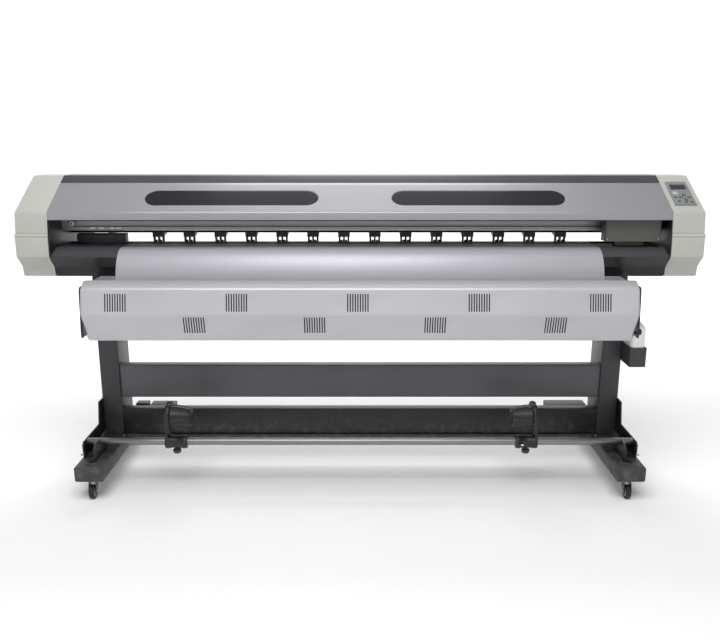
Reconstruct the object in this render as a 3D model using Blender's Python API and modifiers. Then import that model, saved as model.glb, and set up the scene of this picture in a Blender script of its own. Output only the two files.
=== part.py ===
"""Wide-format roll printer on a castered stand, in separate pieces.

The frame has X to the right along the print direction, -Y to the front and +Z up.
The origin is on the floor under the middle of the machine's box.
Run with: blender --background --python part.py
"""
import math

import bmesh
import bpy
from mathutils import Matrix, Vector

# ---------------------------------------------------------------- driving dimensions, in metres
GAP = 0.0003                    # clearance between pieces that touch

MACHINE_LENGTH = 2.70           # over both end covers
MACHINE_HEIGHT = 1.30           # floor to the flat top of the head
HEAD_HEIGHT = 0.388             # head unit, from its underside to its top
END_COVER_WIDTH = 0.13          # each end cover, along X
COVER_WALL = 0.004              # moulded end covers and lower covers
SHEET = 0.003                   # lid and rear cover
SIDE_PLATE = 0.004              # chassis side plates

HEAD_FRONT = -0.2225            # foremost line of the head, at the lower crease
HEAD_REAR = 0.300
LID_CREASE_Y = -0.205           # where the sloped lid turns down into its lip
LID_CREASE_H = 0.259            # heights marked _H are above the head's underside
LID_LIP_H = 0.229
TOP_FRONT_Y = 0.0075
TOP_REAR_Y = 0.105
UNDER_FRONT = -0.1736           # front and rear edges of the head's underside
UNDER_REAR = 0.262
CHAMFER_FRONT = -0.178          # where the front face starts to lean forward
CHAMFER_H = 0.038
CREASE_H = 0.085                # foremost line of the head
SEAM_FRONT = -0.218             # seam between an end cover's two halves
SEAM_H = 0.176
REAR_FOOT_H = 0.043             # where the rear face turns in under the head
SHOULDER_H = 0.253              # rear top edge
REAR_COVER_BOTTOM_H = 0.158     # upper edge of the rear media slot
HINGE_Y = -0.037                # lid hinge line
HINGE_ROD_R = 0.0025

WINDOW_LENGTH = 0.69
WINDOW_HEIGHT = 0.10            # measured up the slope
WINDOW_PITCH = 0.98             # between the two windows' middles
WINDOW_SHIFT = -0.02            # the pair sits a little left of the middle
WINDOW_LEAD = 0.0045            # window middles in front of the middle of the slope, along Y

BEAM_FRONT = -0.075             # main beam that carries the carriage rail
BEAM_REAR = 0.035
BEAM_BOTTOM_H = 0.171
BEAM_TOP_H = 0.288
BEAM_WALL = 0.006
BASE_FRONT = -0.060             # base beam that stands on the legs
BASE_REAR = 0.190
BASE_HEIGHT = 0.068

PLATEN_H = 0.116                # print surface
PLATEN_FRONT = -0.157
PLATEN_SHEET = 0.002
FEED_R = 0.012                  # grit feed roller
FEED_JOURNAL_R = 0.006
FEED_SLOT = 0.0015              # between the roller and the sheets before and behind it
LOWER_COVER_LENGTH = 0.2667     # dark covers beside the apron

RAIL_SIZE = 0.015               # square linear guide
RAIL_H = 0.2425                 # middle of the guide
BELT_H = 0.200                  # middle of the belt loop
PULLEY_R = 0.0107
BELT_THICKNESS = 0.0015
BELT_WIDTH = 0.008
PULLEY_INSET = 0.045            # pulley axis to the side plate
MOTOR_SIZE = 0.045              # carriage motor, square
MOTOR_DEPTH = 0.050
CARRIAGE_LENGTH = 0.22
BLOCK_LENGTH = 0.16             # carriage block, behind the cover
CARRIAGE_FRONT = -0.175
CARRIAGE_BOTTOM_H = 0.138
CARRIAGE_TOP_H = 0.253
CARRIAGE_PARK_GAP = 0.024       # parked carriage to the right side plate
HEAD_LENGTH = 0.104             # print head
HEAD_Y = -0.149                 # front of the print head
HEAD_FLIGHT = 0.0035            # print head above the platen
STATION_MARGIN = 0.004          # capping station past the print head's ends
STATION_FRONT = -0.150

PINCH_PITCH = 0.129
PINCH_WIDTH = 0.049
PINCH_BAR_R = 0.005
PINCH_BAR_Y = 0.022
PINCH_BAR_H = 0.155
LEVER_INSET = 0.10              # lift lever, outside the end of the print width
LEVER_WIDTH = 0.010
LEVER_END = 0.345               # its handle, behind the rear cover

APRON_SHEET = 0.002
DRYER_SHEET = 0.002
DRYER_INSET = 0.164             # dryer's end inside the inner edge of an end cover
DRYER_FRONT = -0.395
DRYER_BACK = -0.332
DRYER_FLOOR_FRONT = -0.365
DRYER_BROW_Y = -0.375
DRYER_TOP_H = 0.014             # top edge at the back; the drops are below the head's underside
DRYER_BROW_DROP = 0.011
DRYER_CREASE_DROP = 0.107
DRYER_BOTTOM_DROP = 0.216
VENT_GROUPS = (5, 4)            # groups above and below the crease
VENT_MARGIN = 0.142             # half the row's spare length, from an outer group's middle
VENT_SHIFTS = (-0.008, 0.0565)  # each row's middle along X
VENT_FRAME = 0.006              # a slot ends this far inside the height of its row
VENT_LIFTS = (0.045, -0.043)    # middles of the rows above the crease
VENT_SLOTS = 9
VENT_PITCH = 0.0095
VENT_SLOT_WIDTH = 0.0045
VENT_HEIGHT = 0.078
ARM_THICKNESS = 0.006           # dryer arms
PIVOT_Y = -0.345                # dryer pivot
PIVOT_DROP = 0.017              # dryer pivot below the head's underside
PIVOT_R = 0.005
KNOB_DROP = 0.169               # clamp knob below the pivot
KNOB_R = 0.012
KNOB_STUD_R = 0.003
ARM_DEPTH = 0.055               # dryer arm where it meets the leg

LEG_WIDTH = 0.0854
LEG_FRONT = 0.025
LEG_REAR = 0.185
LEG_WALL = 0.003
FOOT_WIDTH = 0.118
FOOT_FRONT = -0.325
FOOT_REAR = 0.395
FOOT_BOTTOM = 0.086
FOOT_HEIGHT = 0.065
FOOT_WALL = 0.003
CROSSBAR_BOTTOM = 0.323
CROSSBAR_HEIGHT = 0.152
LOWER_BEAM_TOP = 0.273
BAR_DEPTH = 0.050
FLANGE_DROP = 0.013             # bottom flange of the lower beam

TUBE_R = 0.015                  # media roll rail
TUBE_WALL = 0.0025
TUBE_Y = -0.190
TUBE_Z = 0.208
BRACKET_PLATE = 0.006
BRACKET_RISE = 0.096            # bracket's tab on the leg, above the top of the rail
HOLDER_LEFT_X = -0.772
HOLDER_RIGHT_X = 0.699
COLLAR_R = 0.029
COLLAR_LENGTH = 0.090
HOLDER_RISE = 0.111             # core axis above the rail
HOLDER_ARM = 0.012
STUB_R = 0.010
CONE_LENGTH = 0.100
CONE_FLANGE_R = 0.065
CONE_BODY_R = 0.048
CONE_TIP_R = 0.036

TRAY_LENGTH = 0.135             # waste tray, along Y
TRAY_WIDTH = 0.069
TRAY_HEIGHT = 0.0855
TRAY_SHARE = 0.302698           # tray floor, on the way from the take-up bracket up to the head
TRAY_WALL = 0.0025
BOTTLE_HEIGHT = 0.190
BOTTLE_SIDE_GAP = 0.0020
CAP_R = 0.018
CAP_HEIGHT = 0.030

CASTER_FRONT_Y = -0.270
CASTER_REAR_Y = 0.340
CASTER_TRAIL = 0.020
WHEEL_R = 0.0285
WHEEL_WIDTH = 0.022
AXLE_R = 0.004
FORK_CHEEK = 0.003
FORK_DISC_R = 0.024

PANEL_WIDTH = 0.085
PANEL_LENGTH = 0.155            # up the slope
PANEL_DEPTH = 0.004
PANEL_Y = -0.1023
DISPLAY_WIDTH = 0.056
DISPLAY_HEIGHT = 0.024
DISPLAY_V = 0.040               # display above the panel's middle, up the slope
KEY_WIDTH = 0.013
KEY_HEIGHT = 0.010
KEY_TRAVEL = 0.001
KEY_SPREAD = 0.016
KEY_V = -0.028

# ---------------------------------------------------------------- places worked out from them
SIDE = MACHINE_LENGTH / 2 - END_COVER_WIDTH            # inner edge of an end cover
INNER = SIDE - GAP - SIDE_PLATE                        # inner face of a side plate
HEAD_BOTTOM = MACHINE_HEIGHT - HEAD_HEIGHT
SLOPE = math.atan2(HEAD_HEIGHT - LID_CREASE_H, TOP_FRONT_Y - LID_CREASE_Y)
PRINT_HALF = SIDE - LOWER_COVER_LENGTH                 # half of the platen and the apron
PINCH_COUNT = int(2 * PRINT_HALF / PINCH_PITCH)        # as many arms as the print width takes
DRYER_HALF = SIDE - DRYER_INSET
LEG_INNER = DRYER_HALF + ARM_THICKNESS + 2 * GAP
LEG_MIDDLE = LEG_INNER + LEG_WIDTH / 2
LEG_OUTER = LEG_INNER + LEG_WIDTH
FOOT_TOP = FOOT_BOTTOM + FOOT_HEIGHT
FEED_Z = HEAD_BOTTOM + PLATEN_H + GAP - FEED_R
CARRIAGE_X = INNER - CARRIAGE_PARK_GAP - CARRIAGE_LENGTH / 2
PIVOT_Z = HEAD_BOTTOM - PIVOT_DROP
PULLEY_X = INNER - PULLEY_INSET


def above(height):
    """World height of something given above the head's underside."""
    return HEAD_BOTTOM + height


def on_slope(y, inward=0.0):
    """Point on the lid's slope at this Y, moved inward square to the slope."""
    z = above(LID_CREASE_H) + (y - LID_CREASE_Y) * math.tan(SLOPE)
    return (y + inward * math.sin(SLOPE), z - inward * math.cos(SLOPE))


def along_slope(point, distance):
    """Point moved up the slope."""
    return (point[0] + distance * math.cos(SLOPE), point[1] + distance * math.sin(SLOPE))


HEAD_OUTLINE = [                                       # (y, z), front bottom first, clockwise
    (UNDER_FRONT, above(0)), (CHAMFER_FRONT, above(CHAMFER_H)), (HEAD_FRONT, above(CREASE_H)),
    (SEAM_FRONT, above(SEAM_H)), (LID_CREASE_Y, above(LID_CREASE_H)),
    (TOP_FRONT_Y, MACHINE_HEIGHT), (TOP_REAR_Y, MACHINE_HEIGHT), (HEAD_REAR, above(SHOULDER_H)),
    (HEAD_REAR, above(REAR_FOOT_H)), (UNDER_REAR, above(0))]
HINGE = on_slope(HINGE_Y, SHEET / 2)


# ---------------------------------------------------------------- scene and modelling helpers
def clear_scene():
    for thing in list(bpy.data.objects):
        bpy.data.objects.remove(thing)


def collection(name):
    group = bpy.data.collections.new(name)
    bpy.context.scene.collection.children.link(group)
    return group


def finish(name, colour, roughness, metallic=0.0):
    """Principled material for one piece."""
    material = bpy.data.materials.new(name)
    material.use_nodes = True
    shader = material.node_tree.nodes["Principled BSDF"]
    shader.inputs["Base Color"].default_value = (*colour, 1.0)
    shader.inputs["Roughness"].default_value = roughness
    shader.inputs["Metallic"].default_value = metallic
    return material


FINISHES = {                                           # colour, roughness, metallic
    "ivory": ((0.60, 0.60, 0.56), 0.45, 0.0),
    "silver": ((0.55, 0.55, 0.57), 0.38, 0.3),
    "charcoal": ((0.075, 0.075, 0.08), 0.5, 0.1),
    "black": ((0.015, 0.015, 0.017), 0.45, 0.0),
    "steel": ((0.50, 0.50, 0.51), 0.3, 1.0),
    "satin": ((0.75, 0.75, 0.80), 0.35, 0.4),
    "smoke": ((0.04, 0.035, 0.045), 0.1, 0.0),
    "platen": ((0.30, 0.33, 0.32), 0.5, 0.2),
    "milky": ((0.80, 0.82, 0.80), 0.4, 0.0),
    "rubber": ((0.03, 0.03, 0.03), 0.8, 0.0),
}


def add(name, mesh, look):
    """Put a mesh in the parts collection as a named object with its own material."""
    obj = bpy.data.objects.new(name, mesh)
    mesh.materials.clear()
    mesh.materials.append(finish(name, *FINISHES[look]))
    PARTS.objects.link(obj)
    return obj


def mesh_from(bm, name):
    mesh = bpy.data.meshes.new(name)
    bm.to_mesh(mesh)
    bm.free()
    return mesh


def box(name, low, high, look="charcoal"):
    """Box between two corners, with its origin at its middle."""
    size = Vector(high) - Vector(low)
    bm = bmesh.new()
    bmesh.ops.create_cube(bm, size=1.0)
    bmesh.ops.scale(bm, vec=size, verts=bm.verts)
    obj = add(name, mesh_from(bm, name), look)
    obj.location = (Vector(low) + Vector(high)) / 2
    return obj


def to_mesh(curve_object, name, look):
    """Replace a curve object by the welded mesh that it evaluates to."""
    bpy.context.view_layer.update()
    graph = bpy.context.evaluated_depsgraph_get()
    mesh = bpy.data.meshes.new_from_object(curve_object.evaluated_get(graph))
    bm = bmesh.new()
    bm.from_mesh(mesh)
    bmesh.ops.remove_doubles(bm, verts=bm.verts, dist=0.00001)
    bm.to_mesh(mesh)
    bm.free()
    place = curve_object.matrix_world.copy()
    bpy.data.objects.remove(curve_object)
    obj = add(name, mesh, look)
    obj.matrix_world = place
    return obj


def flat_curve(name, points, depth, closed=True):
    """Flat outline, or open ribbon, through (u, v) points and extruded to this depth."""
    curve = bpy.data.curves.new(name, "CURVE")
    curve.dimensions = "2D"
    curve.fill_mode = "BOTH" if closed else "NONE"
    curve.extrude = depth / 2
    spline = curve.splines.new("POLY")
    spline.points.add(len(points) - 1)
    for spot, (u, v) in zip(spline.points, points):
        spot.co = (u, v, 0.0, 1.0)
    spline.use_cyclic_u = closed
    obj = bpy.data.objects.new(name, curve)
    PARTS.objects.link(obj)
    return obj


def outline_curve(name, points, x_low, x_high, closed):
    """Curve through (y, z) points, extruded along X between two places."""
    obj = flat_curve(name, points, abs(x_high - x_low), closed)
    obj.rotation_euler = (math.pi / 2, 0.0, math.pi / 2)   # curve plane to YZ, depth to X
    obj.location.x = (x_low + x_high) / 2
    return obj


def stadium(name, length, height, depth, place, tilt, look, steps=10):
    """Slab with round ends, its length along X, tilted about X from lying flat."""
    radius = height / 2
    points = []
    for side in (1, -1):
        for i in range(steps + 1):
            turn = side * math.pi / 2 - math.pi * i / steps
            points.append((side * (length / 2 - radius) + radius * math.cos(turn),
                           radius * math.sin(turn)))
    obj = flat_curve(name, points, depth)
    obj.location = place
    obj.rotation_euler = (tilt, 0.0, 0.0)
    return to_mesh(obj, name, look)


def prism(name, outline, x_low, x_high, look="charcoal"):
    """Solid with a (y, z) outline, between two places along X."""
    return to_mesh(outline_curve(name, outline, x_low, x_high, True), name, look)


def face_outward(obj):
    bm = bmesh.new()
    bm.from_mesh(obj.data)
    bmesh.ops.recalc_face_normals(bm, faces=bm.faces)
    bm.to_mesh(obj.data)
    bm.free()


def thicken(obj, thickness, outside=False):
    solid = obj.modifiers.new("thickness", "SOLIDIFY")
    solid.thickness = thickness
    solid.offset = 1.0 if outside else -1.0
    solid.use_even_offset = True
    return obj


def sheet(name, profile, x_low, x_high, thickness, look="charcoal", flip=False):
    """Folded sheet: a (y, z) profile carried along X. Its thickness goes to the right of the
    profile's direction as seen from +X, or to the left with flip."""
    obj = to_mesh(outline_curve(name, profile, x_low, x_high, False), name, look)
    return thicken(obj, thickness, flip)


def case(name, outline, x_closed, x_open, wall, look="charcoal"):
    """Hollow moulding with a (y, z) outline, closed at one end along X and open at the other."""
    obj = prism(name, outline, min(x_closed, x_open), max(x_closed, x_open), look)
    face_outward(obj)
    middle = (x_closed + x_open) / 2
    bm = bmesh.new()
    bm.from_mesh(obj.data)
    depth = (x_open - middle)                          # local Z of the open end
    open_faces = [f for f in bm.faces if all(abs(v.co.z - depth) < 1e-6 for v in f.verts)]
    bmesh.ops.delete(bm, geom=open_faces, context="FACES")
    bm.to_mesh(obj.data)
    bm.free()
    return thicken(obj, wall)


AXIS_TURN = {"X": (0.0, math.pi / 2, 0.0), "Y": (-math.pi / 2, 0.0, 0.0), "Z": (0.0, 0.0, 0.0)}


def rod(name, centre, radius, length, axis="X", look="steel", sides=24):
    """Round bar about its middle."""
    bm = bmesh.new()
    bmesh.ops.create_cone(bm, cap_ends=True, segments=sides, radius1=radius, radius2=radius,
                          depth=length)
    obj = add(name, mesh_from(bm, name), look)
    obj.location = centre
    obj.rotation_euler = AXIS_TURN[axis]
    return obj


def turned(name, profile, centre, axis="X", look="black", steps=24):
    """Closed ring: (radius, along) points go down the outer side and back up the bore."""
    bm = bmesh.new()
    spots = [bm.verts.new((radius, 0.0, along)) for radius, along in profile]
    for first, second in zip(spots, spots[1:] + spots[:1]):
        bm.edges.new((first, second))
    obj = add(name, mesh_from(bm, name), look)
    screw = obj.modifiers.new("turn", "SCREW")
    screw.axis = "Z"
    screw.steps = steps
    screw.render_steps = steps
    screw.use_merge_vertices = True
    screw.merge_threshold = 0.00001
    screw.use_normal_calculate = False
    obj.location = centre
    obj.rotation_euler = AXIS_TURN[axis]
    return obj


def use_as_tool(tool):
    """Move an object out of the parts and into the cutters."""
    if tool.name in PARTS.objects:
        PARTS.objects.unlink(tool)
        CUTTERS.objects.link(tool)
    tool.hide_render = True
    tool.display_type = "WIRE"


def combine(obj, tools, operation):
    for tool in tools:
        use_as_tool(tool)
        step = obj.modifiers.new(operation.lower(), "BOOLEAN")
        step.operation = operation
        step.object = tool
    return obj


def cut(obj, *tools):
    return combine(obj, tools, "DIFFERENCE")


def join(obj, *tools):
    return combine(obj, tools, "UNION")


def smooth(obj, angle=0.6):
    obj.data.shade_smooth()
    obj.data.set_sharp_from_angle(angle=angle)
    return obj


def set_origin(obj, point):
    """Move an object's origin, with its mesh left where it is."""
    bpy.context.view_layer.update()
    world = obj.matrix_world.copy()
    obj.data.transform(Matrix.Translation(-Vector(point)) @ world)
    obj.matrix_world = Matrix.Translation(Vector(point))
    return obj


def box_tube(name, low, high, wall, along, look="charcoal", closed_end=False):
    """Rectangular tube, open at both ends along one axis, or only at the upper one."""
    outer = box(name, low, high, look)
    inner_low = [value + wall for value in low]
    inner_high = [value - wall for value in high]
    index = "XYZ".index(along)
    inner_high[index] = high[index] + wall
    if not closed_end:
        inner_low[index] = low[index] - wall
    return cut(outer, box(name + "_bore", inner_low, inner_high))


def inset(outline, distance):
    """Closed outline moved inward by a distance, with mitred corners."""
    count = len(outline)
    area = sum(outline[i][0] * outline[(i + 1) % count][1]
               - outline[(i + 1) % count][0] * outline[i][1] for i in range(count)) / 2
    turn = 1.0 if area > 0 else -1.0
    moved = []
    for i in range(count):
        before, here, after = (Vector(outline[(i + k) % count]) for k in (-1, 0, 1))
        first, second = (here - before).normalized(), (after - here).normalized()
        normal_a = Vector((-first.y, first.x)) * turn
        normal_b = Vector((-second.y, second.x)) * turn
        middle = (normal_a + normal_b).normalized()
        moved.append(tuple(here + middle * (distance / middle.dot(normal_a))))
    return moved


def bezier(start, handle_a, handle_b, end, count):
    """Points on a cubic curve, both ends included."""
    points = []
    for i in range(count):
        t = i / (count - 1)
        weights = ((1 - t) ** 3, 3 * t * (1 - t) ** 2, 3 * t * t * (1 - t), t ** 3)
        points.append(tuple(sum(w * p[k] for w, p in zip(weights, (start, handle_a, handle_b, end)))
                            for k in (0, 1)))
    return points


# ---------------------------------------------------------------- chassis
def make_chassis():
    for side, word in ((-1, "left"), (1, "right")):
        near, far = sorted((side * INNER, side * (INNER + SIDE_PLATE)))
        plate = prism(f"side_plate_{word}", inset(HEAD_OUTLINE, SHEET + GAP), near, far)
        middle = (near + far) / 2
        cut(plate,
            rod(f"feed_hole_{word}", (middle, 0.0, FEED_Z), FEED_JOURNAL_R + GAP, 0.02),
            rod(f"pinch_hole_{word}", (middle, PINCH_BAR_Y, above(PINCH_BAR_H)),
                PINCH_BAR_R + GAP, 0.02))
    end = INNER - GAP
    box_tube("base_beam", (-end, BASE_FRONT, HEAD_BOTTOM + GAP),
             (end, BASE_REAR, HEAD_BOTTOM + BASE_HEIGHT), BEAM_WALL, "X")
    beam = box_tube("beam", (-end, BEAM_FRONT, above(BEAM_BOTTOM_H)),
                    (end, BEAM_REAR, above(BEAM_TOP_H)), BEAM_WALL, "X", "satin")
    for side, word in ((-1, "left"), (1, "right")):
        cut(beam, rod(f"pulley_hole_{word}", (side * PULLEY_X, BEAM_FRONT, above(BELT_H)),
                      AXLE_R + GAP, 3 * BEAM_WALL, "Y"))


def make_end_covers():
    for side, word in ((-1, "left"), (1, "right")):
        case(f"end_cover_{word}", HEAD_OUTLINE, side * MACHINE_LENGTH / 2, side * SIDE,
             COVER_WALL, "ivory")


def make_lower_covers():
    """Dark covers between the apron's ends and the side plates."""
    rear = BASE_FRONT - GAP
    outline = [(rear, above(0)), (UNDER_FRONT, above(0)), (CHAMFER_FRONT, above(CHAMFER_H)),
               (HEAD_FRONT, above(CREASE_H)), (PLATEN_FRONT + 0.002, above(PLATEN_H)),
               (rear, above(PLATEN_H))]
    for side, word in ((-1, "left"), (1, "right")):
        cover = case(f"lower_cover_{word}", outline, side * (PRINT_HALF + GAP),
                     side * (INNER - GAP), SHEET, "charcoal")
        if side > 0:
            half = HEAD_LENGTH / 2 + STATION_MARGIN
            front, back = STATION_FRONT, rear - SHEET - GAP
            top = above(PLATEN_H) + GAP
            box("capping_station", (CARRIAGE_X - half, front, above(0.018)),
                (CARRIAGE_X + half, back, top), "black")
            cut(cover, box("capping_hole", (CARRIAGE_X - half - GAP, front - GAP, above(0.08)),
                           (CARRIAGE_X + half + GAP, back + GAP / 2, top + 0.01)))


def make_top_covers():
    """Rear cover, lid with its two windows, and the hinge rod between them."""
    rod("hinge_rod", (0.0, *HINGE), HINGE_ROD_R, 2 * (INNER - GAP), "X", "steel", 12)
    surface = on_slope(HINGE_Y)
    reach = HINGE_ROD_R + GAP
    end = SIDE - GAP
    sheet("rear_cover", [along_slope(surface, reach), (TOP_FRONT_Y, MACHINE_HEIGHT),
                         (TOP_REAR_Y, MACHINE_HEIGHT), (HEAD_REAR, above(SHOULDER_H)),
                         (HEAD_REAR, above(REAR_COVER_BOTTOM_H))], -end, end, SHEET, "charcoal")
    lip = (LID_CREASE_Y - (LID_CREASE_H - LID_LIP_H) * 0.157, above(LID_LIP_H))
    lid = sheet("front_cover", [lip, (LID_CREASE_Y, above(LID_CREASE_H)),
                                along_slope(surface, -reach)], -end, end, SHEET, "silver")
    set_origin(lid, (0.0, *HINGE))
    middle_y = (LID_CREASE_Y + HINGE_Y) / 2 - WINDOW_LEAD
    for side, word in ((-1, "left"), (1, "right")):
        place = (WINDOW_SHIFT + side * WINDOW_PITCH / 2, *on_slope(middle_y, SHEET / 2))
        hole = stadium(f"window_hole_{word}", WINDOW_LENGTH, WINDOW_HEIGHT, 4 * SHEET, place,
                       SLOPE, "smoke")
        pane = stadium(f"window_{word}", WINDOW_LENGTH - 2 * GAP, WINDOW_HEIGHT - 2 * GAP, SHEET,
                       place, SLOPE, "smoke")
        set_origin(pane, (0.0, *HINGE))
        cut(lid, hole)


# ---------------------------------------------------------------- media path
def make_media_path():
    top = above(PLATEN_H)
    base_top = HEAD_BOTTOM + BASE_HEIGHT + GAP
    edge = FEED_R + FEED_SLOT
    sheet("platen", [(-edge, base_top), (-edge, top), (PLATEN_FRONT, top),
                     (PLATEN_FRONT, top - 0.020)],
          -PRINT_HALF, PRINT_HALF, PLATEN_SHEET, "platen", flip=True)
    under = above(0.0035)
    sheet("rear_guide", [(edge, top - 0.0015), (0.060, top - 0.010),
                         (HEAD_REAR - SHEET, above(REAR_FOOT_H + 0.010)),
                         (HEAD_REAR - SHEET, above(REAR_FOOT_H)),
                         (UNDER_REAR, under), (BASE_REAR + GAP, under)],
          -(INNER - GAP), INNER - GAP, PLATEN_SHEET, "charcoal")
    sheet("apron", bezier((PLATEN_FRONT - GAP, top - 0.0005), (-0.285, top + 0.002),
                          (-0.290, above(-0.112)), (-0.225, above(-0.192)), 13),
          -(PRINT_HALF - GAP), PRINT_HALF - GAP, APRON_SHEET, "satin", flip=True)
    roller_half = PRINT_HALF - 0.004
    pulley_near = SIDE + 0.012
    pulley_far = pulley_near + 0.012
    journal_end = SIDE + 0.006
    turned("feed_roller",
           [(0.0, pulley_far), (0.030, pulley_far), (0.030, pulley_near),
            (FEED_JOURNAL_R, pulley_near), (FEED_JOURNAL_R, roller_half), (FEED_R, roller_half),
            (FEED_R, -roller_half), (FEED_JOURNAL_R, -roller_half),
            (FEED_JOURNAL_R, -journal_end), (0.0, -journal_end)],
           (0.0, 0.0, FEED_Z), "X", "steel", 20)


def make_pinch_bank():
    """Lifting bar with its row of pinch arms and the lever at the rear left."""
    z = above(PINCH_BAR_H)
    bar = rod("pinch_bank", (0.0, PINCH_BAR_Y, z), PINCH_BAR_R, 2 * (SIDE - GAP), "X", "black", 12)
    roller_bottom = above(PLATEN_H) + 2 * GAP
    block = [(0.034, z - 0.010), (-0.013, z - 0.019), (-0.012, z + 0.003), (0.010, z + 0.012),
             (0.034, z + 0.012)]
    leg = [(0.006, z - 0.008), (0.006, roller_bottom + 0.004), (0.002, roller_bottom),
           (-0.006, roller_bottom), (-0.010, roller_bottom + 0.004), (-0.010, z - 0.008)]
    first = -(PINCH_COUNT - 1) / 2
    for i in range(PINCH_COUNT):
        x = (first + i) * PINCH_PITCH + PINCH_PITCH * WINDOW_SHIFT
        join(bar, prism(f"pinch_block_{i}", block, x - PINCH_WIDTH / 2, x + PINCH_WIDTH / 2))
        for k in (-1, 0, 1):
            centre = x + k * (PINCH_WIDTH / 2 - 0.006)
            join(bar, prism(f"pinch_leg_{i}_{k}", leg, centre - 0.004, centre + 0.004))
    lever = [(PINCH_BAR_Y - 0.009, z), (PINCH_BAR_Y, z + 0.010), (LEVER_END - 0.015, z - 0.012),
             (LEVER_END, z - 0.016), (LEVER_END, z - 0.038), (LEVER_END - 0.020, z - 0.034),
             (PINCH_BAR_Y, z - 0.009)]
    lever_x = -(PRINT_HALF + LEVER_INSET)
    join(bar, prism("lever_shape", lever, lever_x - LEVER_WIDTH / 2, lever_x + LEVER_WIDTH / 2))


# ---------------------------------------------------------------- carriage and its drive
def make_carriage():
    rail_low, rail_high = above(RAIL_H) - RAIL_SIZE / 2, above(RAIL_H) + RAIL_SIZE / 2
    rail_rear = BEAM_FRONT - GAP
    rail_front = rail_rear - RAIL_SIZE
    box("guide_rail", (-(INNER - 0.012), rail_front, rail_low), (INNER - 0.012, rail_rear, rail_high),
        "steel")
    belt_top = above(BELT_H) + PULLEY_R + GAP + BELT_THICKNESS
    rear, low, high = BEAM_FRONT - 0.0018, belt_top + GAP, rail_high + 0.022
    web_front, web_rear = rail_front - 0.024, rail_front - 0.0187
    shelf_top, shelf_front = above(CARRIAGE_BOTTOM_H) + 0.051, CARRIAGE_FRONT + 0.007
    shelf_low = shelf_top - 0.005
    outline = [(rear, low), (rear, rail_low - GAP), (rail_front - GAP, rail_low - GAP),
               (rail_front - GAP, rail_high + GAP), (rear, rail_high + GAP), (rear, high),
               (web_front, high), (web_front, shelf_top), (shelf_front, shelf_top),
               (shelf_front, shelf_low), (web_rear, shelf_low), (web_rear, low)]
    prism("carriage_block", outline, CARRIAGE_X - BLOCK_LENGTH / 2, CARRIAGE_X + BLOCK_LENGTH / 2,
          "black")
    half = CARRIAGE_LENGTH / 2
    cover = box("carriage_cover", (CARRIAGE_X - half, CARRIAGE_FRONT, above(CARRIAGE_BOTTOM_H)),
                (CARRIAGE_X + half, web_front - GAP, above(CARRIAGE_TOP_H)), "charcoal")
    bm = bmesh.new()
    bm.from_mesh(cover.data)
    open_faces = [f for f in bm.faces if f.normal.z < -0.5 or f.normal.y > 0.5]
    bmesh.ops.delete(bm, geom=open_faces, context="FACES")
    bm.to_mesh(cover.data)
    bm.free()
    thicken(cover, SHEET)
    box("print_head", (CARRIAGE_X - HEAD_LENGTH / 2, HEAD_Y, above(PLATEN_H) + HEAD_FLIGHT),
        (CARRIAGE_X + HEAD_LENGTH / 2, web_front - GAP, shelf_low - GAP), "black")


def make_carriage_drive():
    """Belt loop, its two pulleys and the motor inside the beam."""
    z = above(BELT_H)
    belt_y = BEAM_FRONT - 0.0023 - BELT_WIDTH / 2
    inner_r = PULLEY_R + GAP
    outer_r = inner_r + BELT_THICKNESS
    belt, inside = [
        stadium(name, 2 * (PULLEY_X + radius), 2 * radius, width, (0.0, belt_y, z), math.pi / 2,
                "black")
        for name, radius, width in (("drive_belt", outer_r, BELT_WIDTH),
                                    ("belt_inside", inner_r, 3 * BELT_WIDTH))]
    cut(belt, inside)
    shaft_end = BEAM_FRONT + BEAM_WALL + GAP
    face = belt_y - BELT_WIDTH / 2 - 0.001
    for side, word in ((-1, "drive_pulley"), (1, "idler_pulley")):
        pulley = turned(word, [(0.0, shaft_end - belt_y), (AXLE_R, shaft_end - belt_y),
                               (AXLE_R, BELT_WIDTH / 2 + 0.001), (PULLEY_R, BELT_WIDTH / 2 + 0.001),
                               (PULLEY_R, face - belt_y), (0.0, face - belt_y)],
                        (side * PULLEY_X, belt_y, z), "Y", "steel", 20)
        smooth(pulley)
    half = MOTOR_SIZE / 2
    box("carriage_motor", (-PULLEY_X - half, shaft_end + GAP, z - half),
        (-PULLEY_X + half, shaft_end + MOTOR_DEPTH, z + half), "black")


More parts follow.
